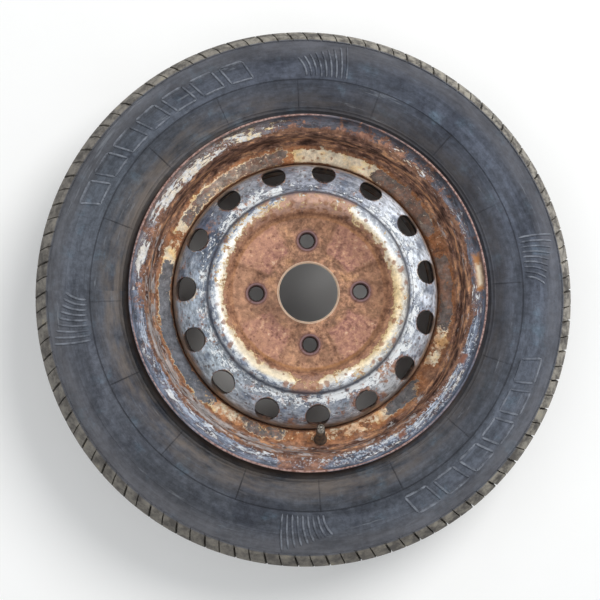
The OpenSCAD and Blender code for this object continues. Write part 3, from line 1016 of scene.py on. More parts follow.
def make_speckle():
    """Small separate chips in some of the cells of a broken pattern."""
    n, given, out = new_group("speckle", [("Vector", "Vector", None), ("Scale", "Float", 400.0),
                                          ("Size", "Float", 0.3)], [("Mask", "Float")])
    warp = n.add("ShaderNodeTexNoise", {"Vector": given["Vector"], "Scale": given["Scale"],
        "Detail": 4.0})
    shift = n.add("ShaderNodeVectorMath", {0: warp.outputs["Color"], 1: (0.006, 0.006, 0.006)},
        operation="MULTIPLY")
    moved = n.add("ShaderNodeVectorMath", {0: given["Vector"], 1: shift.outputs[0]},
        operation="ADD")
    cells = n.add("ShaderNodeTexVoronoi", {"Vector": moved.outputs[0], "Scale": given["Scale"]})
    pick = n.add("ShaderNodeSeparateColor", {"Color": cells.outputs["Color"]}).outputs[0]
    size = n.times(given["Size"], n.maths("MAXIMUM", n.maths("MULTIPLY_ADD", pick, 2.0, -1.0),
        0.001))
    n.feed(out["Mask"], n.band(cells.outputs["Distance"], size, n.times(size, 0.5)))
    return n.tree


def make_grime():
    """Loose dust on what faces up, broken by noise."""
    n, given, out = new_group("grime", [("Vector", "Vector", None), ("Scale", "Float", 25.0),
        ("Amount", "Float", 0.5)], [("Mask", "Float")])
    up = n.add("ShaderNodeSeparateXYZ",
        {"Vector": n.add("ShaderNodeNewGeometry").outputs["Normal"]}).outputs[2]
    broad = n.noise(given["Vector"], given["Scale"], 6.0, 0.65)
    level = n.times(n.band(up, -0.2, 0.9), n.band(broad, 0.32, 0.68))
    n.feed(out["Mask"], n.times(level, given["Amount"]))
    return n.tree


WHEEL_PLACE = make_wheel_place()
ARC_PATCH = make_arc_patch()
FLAKES = make_flakes()
RUST = make_rust()
SPECKLE = make_speckle()
GRIME = make_grime()


SPECULAR = 0.28


def new_material(name):
    """Material with an empty tree but for its output and a Principled shader."""
    material = bpy.data.materials.new(name)
    material.use_nodes = True
    tree = material.node_tree
    surface = tree.nodes["Principled BSDF"]
    surface.inputs["Specular IOR Level"].default_value = SPECULAR
    return material, Nodes(tree), surface


def patches(n, place, colour, spots):
    """Lays patches (centre, half angle, inner, outer, soft, colour) over a colour."""
    for centre, half, inner, outer, soft, top in spots:
        mask = n.group(ARC_PATCH, {"Angle": place["Ragged angle"], "Radius": place["Ragged radius"],
            "Centre": float(centre), "Half": float(half), "Inner": float(inner),
            "Outer": float(outer), "Soft": float(soft)})["Mask"]
        colour = n.over(mask, colour, top)
    return colour


def bump(n, surface, height, distance, strength=1.0):
    """Feeds a height in the range 0 to 1 to the surface's normal."""
    node = n.add("ShaderNodeBump", {"Height": height, "Distance": distance, "Strength": strength})
    n.feed(surface.inputs["Normal"], node.outputs[0])


def weathered(n, colour, vector, scale, depth):
    """Colour made darker and lighter in patches and grains of many sizes."""
    field = n.noise(vector, scale, 9.0, 0.74, 0.2)
    return n.over(1.0, colour, n.band(field, 0.34, 0.66, 1 - depth, 1 + depth), "MULTIPLY")


# Where one finish gives way to the next: heights on the rim, and radii on disc and tyre
LEDGE_FROM_Z = (103.5, 106.5)
SEAT_FROM_Z = (114.5, 117.5)
FLANGE_FROM_Z = (147.0, 149.0)
WALL_FROM_R = (81.5, 84.0)
RIDGE_FROM_R = (87.0, 89.5)
ROLL_FROM_R = (110.5, 112.5)
SKIRT_FROM_R = (142.5, 147.5)
TREAD_FROM_R = (283.6, 285.5)

CREAM = (232, 218, 192)
YELLOW_CREAM = (226, 198, 146)
WHITE = (236, 238, 238)
# White lighter than the ridge's paint: painted light on the ridge.
LIT_WHITE = (250, 250, 247)
CHALK = (206, 210, 216)
BLUE_GREY = (92, 97, 110)
DARK_BROWN = (66, 44, 36)
RED_BROWN = (130, 88, 72)
ORANGE = (190, 122, 68)
PINK_RUST = (178, 138, 122)


def flange_finish(n, place, rust):
    """Scuffed blue-grey paint of the street side flange, with rust, chipped white primer and
    painted highlight streaks.
    """
    spot, angle, radius = place["Place"], place["Ragged angle"], place["Ragged radius"]
    flow = n.stretched(place["Round"], 0.32)
    paint = n.round_ramp(angle, {0: BLUE_GREY, 30: (88, 90, 100), 45: (78, 78, 86),
        100: (84, 84, 92), 115: (126, 116, 112), 150: (128, 116, 114), 175: (104, 110, 124),
        200: (108, 115, 130), 255: (110, 116, 130), 290: (88, 97, 112), 345: (88, 94, 108)})
    paint = weathered(n, paint, flow, 170.0, 0.7)
    rusted = n.flakes(spot, 62.0, n.times(n.band(radius, 182.0, 188.0, 1.0, 0.72),
        n.round_level(angle, {0: 0.34, 30: 0.4, 42: 0.5, 70: 0.56, 96: 0.45, 112: 0.5, 135: 0.36,
        155: 0.58, 190: 0.4, 205: 0.22, 255: 0.22, 264: 0.95, 273: 0.95, 280: 0.16, 300: 0.28,
        340: 0.28})))
    stain = weathered(n, n.over(0.35, rust["Color"], RED_BROWN), flow, 120.0, 0.3)
    paint = n.lay(paint, (110, 84, 78), rusted["Halo"], 0.4)
    paint = n.lay(paint, stain, rusted["Mask"], 0.85)
    low_edge = n.flakes(flow, 90.0, n.band(radius, 186.0, 175.0, 0.02, 0.95))
    paint = n.over(low_edge["Mask"], paint, n.over(0.5, rust["Color"], DARK_BROWN))
    upper = n.between(radius, 178.5, 190.5, 2.0)
    chips = n.flakes(flow, 150.0, n.times(n.band(upper, 0.0, 1.0, 0.4, 1.0),
        n.round_level(angle, {0: 0.3, 30: 0.3, 48: 0.36, 60: 0.36, 72: 0.2, 96: 0.28, 108: 0.48,
        120: 0.44, 150: 0.6, 158: 0.34, 166: 0.5, 172: 0.46, 178: 0.3, 200: 0.38, 255: 0.38,
        270: 0.2, 285: 0.44, 340: 0.34})))
    warm = n.times(n.band(n.noise(spot, 110.0, 7.0, 0.7), 0.38, 0.58),
        n.round_level(angle, {0: 0.3, 60: 0.6, 106: 1.0, 122: 0.6, 150: 0.45, 176: 0.3, 200: 0.15,
        262: 0.15, 290: 0.4, 340: 0.3}))
    pale = weathered(n, n.over(warm, CHALK, YELLOW_CREAM), spot, 230.0, 0.22)
    paint = n.lay(paint, (104, 76, 66), n.between(chips["Depth"], -0.05, -0.005, 0.01), 0.55)
    paint = n.lay(paint, pale, chips["Mask"], 0.92)
    crumbs = n.flakes(spot, 360.0, n.round_level(angle, {0: 0.24, 60: 0.26, 80: 0.16, 110: 0.36,
        150: 0.34, 190: 0.3, 260: 0.3, 285: 0.42, 345: 0.36}))
    paint = n.lay(paint, CHALK, crumbs["Mask"], upper, 0.85)
    # Painted highlight: pale blue-white streaks along the middle of the flange.
    streaks = n.flakes(n.stretched(place["Round"], 0.12), 330.0,
        n.times(n.band(n.between(radius, 180.0, 187.0, 2.5), 0.0, 1.0, 0.15, 1.0),
        n.round_level(angle, {0: 0.3, 30: 0.3, 60: 0.1, 160: 0.15, 185: 0.42, 255: 0.46, 268: 0.1,
        284: 0.42, 350: 0.4})))
    paint = n.lay(paint, (188, 198, 212), streaks["Mask"], 0.75)
    return (patches(n, place, paint, [(7, 6, 184.5, 191, 3.0, (178, 124, 78)),
        (6, 3.5, 186, 190, 2.5, CREAM), (303, 1.2, 181, 187, 1.6, RED_BROWN),
        (337, 1.5, 180, 186, 1.6, RED_BROWN)]), chips)


def ledge_finish(n, place, rust):
    """Well side beside the disc: grey coat on cream filler, and rust where both have come off;
    painted light and shade round the wheel.
    """
    spot, angle = place["Place"], place["Ragged angle"]
    middle = n.between(place["Height"], 105.6, 113.4, 2.2)
    cover = n.times(n.band(middle, 0.0, 1.0, 0.45, 1.0), n.round_level(angle,
        {0: 0.75, 14: 0.68, 19: 0.3, 25: 0.35, 30: 0.85, 91: 0.85, 96: 0.4, 101: 0.84, 124: 0.8,
        149: 0.78, 156: 0.45, 162: 0.45, 167: 0.8, 200: 0.88, 232: 0.74, 240: 0.66, 246: 0.7,
        256: 0.68, 262: 0.5, 266: 0.4, 276: 0.5, 290: 0.56, 301: 0.66, 306: 0.76, 318: 0.75,
        322: 0.4, 329: 0.42, 333: 0.62, 346: 0.62, 350: 0.75}))
    coat = n.flakes(spot, 58.0, cover)
    ground = n.over(0.3, rust["Color"], n.over(n.band(n.noise(spot, 50.0, 6.0), 0.42, 0.6),
        (96, 72, 58), ORANGE))
    ground = n.lay(ground, ORANGE, coat["Halo"], 0.5)
    filler = n.over(n.band(n.noise(spot, 60.0, 6.0), 0.48, 0.66), CREAM, YELLOW_CREAM)
    filler = n.lay(filler, ORANGE, n.band(n.noise(spot, 85.0, 7.0, 0.7), 0.4, 0.6),
        n.round_level(angle, {0: 0.5, 55: 0.15, 95: 0.15, 120: 0.5, 150: 0.2, 180: 0.5, 228: 0.9,
        262: 0.9, 280: 0.55, 320: 0.7}))
    filler = weathered(n, filler, spot, 120.0, 0.2)
    specks = n.speckle(spot, 190.0, 0.55)
    filler = n.lay(filler, (150, 96, 58), specks, 0.7)
    grey = n.round_ramp(angle, {4: (124, 106, 96), 30: (116, 104, 98), 60: (108, 98, 92),
        108: (116, 102, 94), 122: (150, 136, 124), 140: (122, 114, 110), 178: (112, 112, 116),
        215: (104, 107, 115), 250: (114, 106, 102), 310: (104, 102, 103), 350: (106, 98, 95)})
    grey = weathered(n, weathered(n, grey, spot, 150.0, 0.4), spot, 40.0, 0.15)
    soiled = n.flakes(spot, 110.0, n.round_level(angle, {0: 0.5, 24: 0.5, 60: 0.5, 100: 0.5,
        125: 0.45, 150: 0.45, 175: 0.2, 215: 0.2, 250: 0.45, 300: 0.3, 350: 0.4}), Soft=0.03)
    grey = n.lay(grey, n.over(0.4, rust["Color"], RED_BROWN), soiled["Mask"], 0.6)
    bare = n.round_level(angle, {0: 0.0, 60: 0.01, 64: 0.4, 94: 0.4, 98: 0.02, 118: 0.05,
        124: 0.085, 150: 0.09, 154: 0.3, 164: 0.3, 168: 0.05, 200: 0.03, 229: 0.03, 232: 0.4,
        239: 0.4, 243: 0.03, 262: 0.05, 266: 0.4, 301: 0.4, 305: 0.02, 328: 0.02, 332: 0.3,
        342: 0.2, 347: 0.02})
    kept = n.band(n.minus(coat["Depth"], bare), -0.006, 0.006)
    colour = n.over(coat["Mask"], ground, n.over(kept, filler, grey))
    flecks = n.flakes(spot, 200.0, n.round_level(angle, {0: 0.18, 30: 0.28, 60: 0.26, 90: 0.05,
        102: 0.3, 120: 0.3, 150: 0.2, 210: 0.12, 300: 0.2, 340: 0.2}))
    colour = n.lay(colour, CREAM, flecks["Mask"], 0.9)
    # Painted light and shade: the finished ledge made lighter or darker round the wheel.
    painted_light_and_shade = n.times(1.25, n.round_level(angle, {0: 0.8, 40: 0.84, 60: 0.95, 84: 0.8, 105: 0.9,
        120: 1.0, 142: 0.94, 180: 0.8, 205: 0.68, 240: 0.7, 262: 0.8, 300: 0.8, 325: 0.5,
        346: 0.76}))
    return n.over(1.0, weathered(n, colour, spot, 95.0, 0.25), painted_light_and_shade, "MULTIPLY"), coat


def seat_finish(n, place):
    """Bead seat behind the flange: streaky dark rust with some paint left, laid thickest from 180
    to 265 degrees as a painted highlight.
    """
    angle = place["Ragged angle"]
    flow = n.stretched(place["Round"], 0.4)
    streaks = n.noise(flow, 120.0, 9.0, 0.74)
    colour = n.ramp(streaks, [(0.37, (44, 29, 25)), (0.44, (92, 64, 53)), (0.52, (148, 112, 95)),
                              (0.60, (218, 164, 122))])
    colour = weathered(n, colour, place["Place"], 130.0, 0.4)
    colour = n.over(n.round_level(angle, {0: 0.0, 60: 0.0, 110: 0.2, 140: 0.2, 165: 0.1, 190: 0.3,
        240: 0.3, 270: 0.1, 300: 0.3, 335: 0.15}), colour, DARK_BROWN)
    # Pale paint left on the seat; laid thickest from 180 to 265 degrees, it is also a painted
    # highlight.
    left = n.flakes(flow, 110.0, n.round_level(angle, {0: 0.28, 30: 0.25, 60: 0.15, 130: 0.1,
        155: 0.35, 180: 0.5, 225: 0.6, 265: 0.45, 300: 0.35}))
    return n.lay(colour, weathered(n, (180, 174, 172), flow, 200.0, 0.5), left["Mask"], 0.85)


def make_rim_paint():
    material, n, surface = new_material("rim_paint")
    place = n.group(WHEEL_PLACE, {"Ragged": 4.0, "Ragged scale": 150.0})
    spot = place["Place"]
    height = n.plus(place["Height"], n.minus(place["Ragged radius"], place["Radius"]))
    rust = n.group(RUST, {"Vector": spot, "Scale": 70.0, "Warmth": 0.45})
    flange, chips = flange_finish(n, place, rust)
    ledge, coat = ledge_finish(n, place, rust)
    colour = n.over(n.band(height, *LEDGE_FROM_Z), n.over(0.4, rust["Color"], DARK_BROWN), ledge)
    colour = n.over(n.band(height, *SEAT_FROM_Z), colour, seat_finish(n, place))
    colour = n.over(n.band(height, *FLANGE_FROM_Z), colour, flange)
    lip = n.band(place["Height"], LIP_Z - 1.5, LIP_Z - 0.7)
    colour = n.lay(colour, n.over(n.band(rust["Pits"], 0.42, 0.6), (184, 152, 142), (112, 76, 66)),
        lip, 0.9)
    n.feed(surface.inputs["Base Color"], colour)
    paint = n.maths("MAXIMUM", chips["Mask"], coat["Mask"])
    n.feed(surface.inputs["Roughness"], n.band(paint, 0.0, 1.0, 0.66, 0.45))
    surface.inputs["Metallic"].default_value = 0.1
    bump(n, surface, n.plus(n.times(rust["Pits"], 0.6), n.times(paint, 0.4)), 0.0009, 1.0)
    return material


def vent_finish(n, place, rust):
    """Silver paint of the vented roll, chipped white by the groove and rusty round the vents, with
    a painted highlight and painted shade in the vents.
    """
    spot, angle, radius = place["Place"], place["Ragged angle"], place["Ragged radius"]
    flow = n.stretched(place["Round"], 0.4)
    # Paint tone round the wheel; the near-white run from 0 to 50 degrees is a painted highlight.
    paint = n.round_ramp(angle, {2: (212, 218, 228), 26: (226, 232, 240), 46: (218, 223, 232),
        60: (188, 192, 202), 76: (152, 155, 165), 100: (142, 144, 154), 125: (160, 164, 172),
        150: (92, 101, 119), 180: (168, 178, 190), 215: (184, 194, 202), 250: (166, 172, 182),
        285: (150, 156, 166), 310: (180, 181, 182), 335: (192, 197, 206)})
    clouds = n.noise(spot, 34.0, 8.0, 0.68)
    paint = n.lay(paint, (84, 96, 118), n.band(clouds, 0.52, 0.38), 0.7)
    paint = n.lay(paint, (214, 218, 224), n.band(clouds, 0.56, 0.68), 0.5)
    paint = weathered(n, paint, flow, 210.0, 0.5)
    near_groove = n.band(radius, 133.0, 115.0)
    cover = n.times(n.band(near_groove, 0.0, 1.0, 0.36, 0.72),
        n.round_level(angle, {0: 0.7, 45: 0.75, 58: 0.5, 100: 0.5, 122: 0.86, 135: 0.76, 155: 0.56,
        180: 0.62, 240: 0.64, 280: 0.78, 330: 0.8}))
    chalky = n.flakes(flow, 150.0, cover)
    paint = n.lay(paint, (62, 66, 78), n.between(chalky["Depth"], -0.06, -0.01, 0.01), near_groove,
        0.55)
    paint = n.lay(paint, WHITE, chalky["Mask"], 0.9)
    near = n.maths("WRAP", n.minus(place["Angle"], VENT_A), 180 / VENT_N, -180 / VENT_N)
    off = n.times(near, pi / 180, place["Radius"])
    rise = n.minus(place["Radius"], VENT_R + 1)
    rise = n.maths("MAXIMUM", rise, n.times(rise, 1.2))
    gap = n.maths("SQRT", n.plus(n.times(off, off), n.times(rise, rise)))
    wide = n.times(n.band(gap, 20.0, 14.0), n.round_level(angle,
        {10: 0.05, 55: 0.15, 80: 0.4, 105: 0.1, 130: 0.5, 154: 0.2, 180: 0.55, 202: 0.35, 228: 0.3,
        250: 0.1, 276: 0.2, 298: 0.6, 322: 0.6, 346: 0.2}))
    stained = n.flakes(spot, 110.0, n.maths("MAXIMUM", wide, n.band(gap, 15.4, 13.6, 0.0, 0.5)))
    paint = n.lay(paint, n.over(n.band(clouds, 0.52, 0.6), n.over(0.35, rust["Color"], RED_BROWN),
        CREAM), stained["Mask"], 0.8)
    # Painted shade: the vent walls and a thin rim round each vent painted near black.
    paint = n.over(n.band(gap, 13.9, 12.9), paint, (38, 31, 29))
    rusted = n.flakes(spot, 60.0, n.round_level(angle, {0: 0.12, 50: 0.16, 70: 0.28, 100: 0.24,
        130: 0.3, 170: 0.26, 205: 0.3, 220: 0.2, 268: 0.3, 285: 0.34, 325: 0.34, 345: 0.16}))
    paint = n.lay(paint, PINK_RUST, rusted["Halo"], 0.3)
    paint = n.lay(paint, rust["Color"], rusted["Mask"], 0.85)
    specks = n.speckle(spot, 230.0, 0.6)
    paint = n.lay(paint, (96, 76, 68), specks, 0.7)
    outer = weathered(n, n.over(n.band(clouds, 0.4, 0.6), (168, 138, 112), (126, 118, 114)), flow,
        180.0, 0.4)
    return n.over(n.band(radius, *SKIRT_FROM_R), paint, outer)


def ridge_finish(n, place, rust):
    """Filler and white paint left on the ridge, with a ragged inner edge over rust; its brightest
    white is painted light.
    """
    spot, angle, radius = place["Place"], place["Ragged angle"], place["Ragged radius"]
    flow = n.stretched(place["Round"], 0.4)
    # The brightest white runs, from 26 to 56 and 140 to 208 degrees, are painted light.
    paint = n.round_ramp(angle, {0: (230, 208, 168), 14: CREAM, 26: LIT_WHITE, 56: LIT_WHITE, 66: CREAM,
        118: (196, 172, 154), 140: LIT_WHITE, 208: LIT_WHITE, 235: CREAM, 256: CREAM, 276: CREAM,
        298: WHITE, 306: CREAM, 340: CREAM})
    tint = n.round_level(angle, {0: 0.7, 20: 0.5, 60: 0.8, 140: 0.3, 180: 0.6, 240: 0.6, 285: 0.3,
        320: 0.8})
    paint = n.lay(paint, YELLOW_CREAM, n.band(radius, 101.0, 95.0), tint)
    paint = weathered(n, weathered(n, paint, flow, 140.0, 0.2), spot, 260.0, 0.16)
    worn = n.flakes(flow, 210.0, 0.2, Soft=0.02)
    paint = n.lay(paint, (146, 138, 134), worn["Mask"], 0.55)
    flank = n.times(n.band(radius, 99.0, 104.5), n.round_level(angle,
        {0: 0.6, 40: 0.75, 100: 0.95, 250: 0.95, 330: 0.6}))
    streaks = n.flakes(flow, 160.0, 0.5)
    paint = n.over(flank, paint, n.lay(weathered(n, (112, 121, 138), flow, 170.0, 0.5),
        (214, 218, 222), streaks["Mask"], 0.85))
    hold = n.round_level(angle, {0: 0.76, 56: 0.8, 64: 0.44, 100: 0.4, 112: 0.54, 130: 0.6,
        150: 0.66, 200: 0.78, 232: 0.9, 256: 0.88, 263: 0.34, 273: 0.38, 279: 0.8, 300: 0.68,
        345: 0.7})
    cover = n.times(hold, n.band(radius, 86.0, 99.0, 0.26, 1.0))
    kept = n.flakes(spot, 85.0, cover)
    base = n.lay(rust["Color"], weathered(n, (206, 172, 158), flow, 160.0, 0.3),
        n.band(radius, 88.0, 94.0), n.round_level(angle, {0: 0.2, 62: 0.6, 110: 0.6, 150: 0.2,
        225: 0.3, 238: 0.95, 252: 0.6, 262: 0.3}))
    base = n.lay(base, (186, 136, 96), kept["Halo"], 0.5)
    colour = n.over(kept["Mask"], base, n.over(n.between(kept["Depth"], 0.0, 0.03, 0.004), paint,
        YELLOW_CREAM))
    filler = weathered(n, CREAM, spot, 150.0, 0.2)
    colour = patches(n, place, colour, [(226, 9, 93.5, 98, 2.5, filler),
        (246, 9, 92.0, 98, 2.5, filler)])
    specks = n.speckle(spot, 135.0, 0.8)
    return (n.lay(colour, n.over(0.4, rust["Color"], (132, 90, 66)), specks, 0.8), kept)


def hub_finish(n, place, rust):
    """Rusted hub face: redder lobes, dark rings round the bolt seats, painted shade in the seats
    and along the lobes, a bright bore edge.
    """
    spot, angle, radius = place["Place"], place["Ragged angle"], place["Ragged radius"]
    mottle = n.noise(spot, 60.0, 9.0, 0.72)
    smooth_rust = n.ramp(mottle, [(0.36, (116, 84, 64)), (0.46, (150, 114, 92)),
        (0.54, (172, 134, 110)), (0.64, (200, 154, 114))])
    colour = weathered(n, n.over(0.45, rust["Color"], smooth_rust), spot, 150.0, 0.5)
    rough = n.noise(spot, 165.0, 9.0, 0.74)
    red = n.ramp(rough, [(0.35, (104, 66, 62)), (0.43, (146, 102, 92)), (0.51, (176, 128, 112)),
                         (0.58, (198, 148, 118)), (0.66, (228, 198, 174))])
    off_lobe = n.maths("ABSOLUTE", n.minus(n.maths("WRAP", n.minus(angle, BOLT_A), 90.0, 0.0),
        45.0))
    lobe = n.times(n.band(off_lobe, LOBE_A / 2 + 1.0, LOBE_A / 2 - 5.0), n.band(radius, 44.0, 50.0),
                   n.band(radius, 89.0, 82.0), n.band(mottle, 0.3, 0.55, 0.4, 0.95))
    colour = n.over(lobe, colour, red)
    # Painted shade along the feet of the lobes, between lobes and bolts.
    lobe_foot_shade = n.times(n.between(off_lobe, LOBE_A / 2 - 2.0, LOBE_A / 2 + 2.0, 2.0),
        n.between(radius, 48.0, 80.0, 4.0))
    colour = n.lay(colour, (92, 62, 54), lobe_foot_shade, 0.3)
    shadowed = n.round_level(angle, {0: 0.5, 30: 0.42, 60: 0.4, 95: 0.3, 118: 0.0, 250: 0.0,
        280: 0.15, 310: 0.05, 340: 0.3})
    colour = n.lay(colour, (112, 80, 60), shadowed, n.band(radius, 52.0, 74.0))
    lit = n.round_level(angle, {0: 0.0, 105: 0.0, 120: 0.35, 180: 0.35, 240: 0.3, 280: 0.1,
        310: 0.15})
    colour = n.lay(colour, weathered(n, (206, 158, 128), spot, 140.0, 0.3), lit,
        n.band(radius, 54.0, 70.0))
    low_left = n.round_level(angle, {0: 0.0, 140: 0.0, 185: 0.45, 225: 0.55, 250: 0.1})
    colour = n.lay(colour, (110, 80, 66), low_left, n.band(radius, 62.0, 46.0))
    near = n.times(n.maths("WRAP", n.minus(place["Angle"], BOLT_A), 45.0, -45.0), pi / 180)
    x = n.minus(n.times(place["Radius"], n.maths("COSINE", near)), BOLT_R)
    y = n.times(place["Radius"], n.maths("SINE", near))
    gap = n.maths("SQRT", n.plus(n.times(x, x), n.times(y, y)))
    colour = n.lay(colour, (136, 100, 92), n.band(gap, 15.5, 12.0), 0.5)
    colour = n.lay(colour, (98, 74, 78), n.band(gap, 12.4, 11.0), 0.75)
    colour = n.lay(colour, (150, 122, 124), n.between(gap, 9.6, 11.0, 0.5), 0.5)
    # Painted shade: the bolt seats and holes painted near black.
    colour = n.over(n.band(gap, 9.4, 8.6), colour, (52, 40, 38))
    pitted = n.speckle(spot, 250.0, 0.6)
    colour = n.lay(colour, (92, 58, 46), pitted, 0.55)
    edge = n.band(place["Radius"], BORE_R + 2.6, BORE_R + 1.6)
    return n.lay(colour, (232, 208, 184), edge, 0.9)


def make_disc_rust():
    material, n, surface = new_material("disc_rust")
    place = n.group(WHEEL_PLACE, {"Ragged": 4.5, "Ragged scale": 130.0})
    spot, angle, radius = place["Place"], place["Ragged angle"], place["Ragged radius"]
    rust = n.group(RUST, {"Vector": spot, "Scale": 70.0, "Warmth": 0.52})
    ridge, kept = ridge_finish(n, place, rust)
    wall = n.over(n.round_level(angle, {0: 0.35, 60: 0.4, 105: 0.45, 150: 0.15, 230: 0.05, 270: 0.5,
        315: 0.65}), rust["Color"], (92, 64, 48))
    # Orange rust band at the foot of the wall, laid strongest from 235 to 300 degrees as a painted
    # highlight.
    wall = n.lay(wall, (196, 138, 84), n.between(radius, 81.0, 85.5, 2.5), rust["Pits"],
        n.round_level(angle, {0: 0.1, 40: 0.5, 100: 0.3, 150: 0.5, 200: 0.1, 235: 0.8, 300: 0.8,
        330: 0.2}))
    colour = n.over(n.band(radius, *WALL_FROM_R), hub_finish(n, place, rust), wall)
    colour = n.over(n.band(radius, *RIDGE_FROM_R), colour, ridge)
    colour = n.over(n.band(radius, *ROLL_FROM_R), colour, vent_finish(n, place, rust))
    # Painted shade in the groove between the vented roll and the ridge: a soft dark band and a
    # darker line.
    groove_shade_radius = n.maths("MULTIPLY_ADD", place["Radius"], 0.6, n.times(radius, 0.4))
    colour = n.lay(colour, (84, 92, 110), n.between(groove_shade_radius, 107.5, 112.5, 1.8), 0.5)
    colour = n.lay(colour, (56, 60, 72), n.between(groove_shade_radius, 109.4, 111.4, 0.8), 0.7)
    under = n.band(n.add("ShaderNodeSeparateXYZ",
        {"Vector": n.add("ShaderNodeNewGeometry").outputs["Normal"]}).outputs[2], 0.0, -0.3)
    colour = n.lay(colour, n.over(0.5, rust["Color"], (84, 78, 78)), under, 0.8)
    n.feed(surface.inputs["Base Color"], colour)
    surface.inputs["Metallic"].default_value = 0.08
    painted = n.maths("MAXIMUM", n.band(radius, 108.0, 113.0), kept["Mask"])
    n.feed(surface.inputs["Roughness"], n.band(painted, 0.0, 1.0, 0.82, 0.46))
    bump(n, surface, n.plus(n.times(rust["Pits"], 0.7), n.times(kept["Mask"], 0.3)), 0.001, 1.0)
    return material


def make_tyre_rubber(name, marks):
    """Weathered rubber with painted shade by the rim and in its grooves, and painted light on the
    tread; marks is how much paler dust lies on raised moulding.
    """
    material, n, surface = new_material(name)
    place = n.group(WHEEL_PLACE, {"Ragged": 12.0, "Ragged scale": 26.0})
    spot, angle, radius = place["Place"], place["Ragged angle"], place["Ragged radius"]
    flow = n.stretched(place["Round"], 0.4)
    rubber = n.round_ramp(angle, {0: (77, 82, 93), 50: (66, 71, 82), 100: (67, 71, 81),
        150: (76, 81, 89), 200: (79, 82, 90), 240: (72, 75, 82), 290: (71, 75, 83),
        335: (80, 85, 95)})
    # Painted shade: the sidewall next to the rim darkened by an amount that changes round the
    # wheel.
    inner = n.times(n.band(radius, 242.0, 234.0), n.round_level(angle,
        {0: 0.18, 45: 0.1, 90: 0.22, 135: 0.2, 180: 0.14, 225: 0.04, 270: 0.2, 315: 0.22}))
    rubber = n.over(inner, rubber, (10, 10, 10))
    cloud = n.noise(spot, 16.0, 9.0, 0.68, 0.4)
    rubber = n.lay(rubber, (48, 51, 60), n.band(cloud, 0.5, 0.36), 0.6)
    rubber = n.lay(rubber, (92, 110, 124), n.band(n.noise(spot, 34.0, 6.0, 0.6), 0.56, 0.7), 0.4)
    rubber = weathered(n, rubber, n.stretched(flow, 0.5), 60.0, 0.36)
    rubber = weathered(n, rubber, spot, 150.0, 0.28)
    shadowed = n.times(n.band(radius, 232.0, 210.0), n.round_level(angle,
        {0: 0.5, 24: 0.6, 40: 0.95, 84: 0.7, 100: 0.4, 125: 0.2, 300: 0.2, 325: 0.7}))
    rubber = n.lay(rubber, (50, 46, 45), shadowed, 0.7)
    dusty = n.group(GRIME, {"Vector": n.stretched(place["Round"], 0.3), "Scale": 95.0,
        "Amount": 1.0})
    by_rim = n.times(n.band(radius, 238.0, 208.0), n.round_level(angle,
        {0: 0.1, 95: 0.2, 125: 0.55, 170: 0.65, 240: 0.7, 290: 0.5, 315: 0.2}))
    rubber = n.lay(rubber, (128, 116, 106), dusty["Mask"], by_rim)
    rubber = n.lay(rubber, weathered(n, (96, 95, 98), flow, 90.0, 0.35),
        n.band(radius, 256.0, 276.0), 0.5)
    rubber = n.lay(rubber, (84, 66, 56), n.band(place["Radius"], 201.5, 197.5), 0.6)
    scuffs = n.flakes(n.stretched(place["Round"], 0.15), 75.0, 0.22, Soft=0.03)
    rubber = n.lay(rubber, (142, 146, 152), scuffs["Mask"], 0.35)
    off_line = n.maths("PINGPONG", n.plus(place["Angle"], 360.0 - MOULD_FIRST), 180 / MOULD_LINES)
    line = n.times(n.band(n.times(off_line, pi / 180, place["Radius"]), 1.0, 0.5),
                   n.between(place["Radius"], 203.0, RING_GROOVE_R + 0.5, 0.8))
    worn = n.times(marks, n.band(radius, 238.0, 241.0), n.band(n.noise(spot, 60.0, 5.0), 0.36, 0.6,
        0.15, 1.0))
    rubber = n.over(worn, rubber, weathered(n, (124, 128, 136), spot, 120.0, 0.3))
    rubber = n.lay(rubber, (38, 38, 42), line, n.band(cloud, 0.35, 0.6, 0.75, 0.2))
    # Painted shade: a dark line along the moulded ring groove.
    ring_groove_shade = n.between(place["Radius"], RING_GROOVE_R - 0.7, RING_GROOVE_R + 0.6, 0.4)
    rubber = n.lay(rubber, (38, 38, 42), ring_groove_shade, 0.5)
    dirt = n.noise(spot, 70.0, 9.0, 0.7)
    # Dusty tread, painted lighter from 330 to 60 degrees as painted light on the side the light
    # falls on.
    tread = n.over(n.band(dirt, 0.38, 0.62), (84, 80, 76), n.round_ramp(angle,
        {0: (164, 158, 148), 60: (164, 158, 146), 150: (136, 130, 122), 200: (132, 127, 119),
        280: (126, 120, 110), 330: (156, 150, 138)}))
    tread = n.lay(tread, (176, 164, 130), n.band(dirt, 0.6, 0.72), 0.5)
    worn_tread = n.over(n.band(n.noise(spot, 14.0, 9.0, 0.7), 0.4, 0.7),
        weathered(n, (66, 66, 68), spot, 90.0, 0.3), (98, 93, 85))
    tread = n.over(n.band(place["Height"], SHOULDER_Z - 12, SHOULDER_Z - 34), tread, worn_tread)
    # Painted shade: the floors of the tread grooves painted darker.
    tread = n.lay(tread, (44, 41, 38), n.band(place["Radius"], TYRE_R - 3.5, TYRE_R - 6.0),
        n.band(place["Height"], 104.0, 98.0))
    colour = n.over(n.band(place["Radius"], *TREAD_FROM_R), rubber, tread)
    n.feed(surface.inputs["Base Color"], colour)
    n.feed(surface.inputs["Roughness"], n.band(cloud, 0.3, 0.7, 0.88, 0.66))
    grain = n.noise(spot, 420.0, 5.0, 0.75)
    bump(n, surface, n.plus(n.times(grain, 0.6), n.times(cloud, 0.4)), 0.0005, 0.7)
    return material


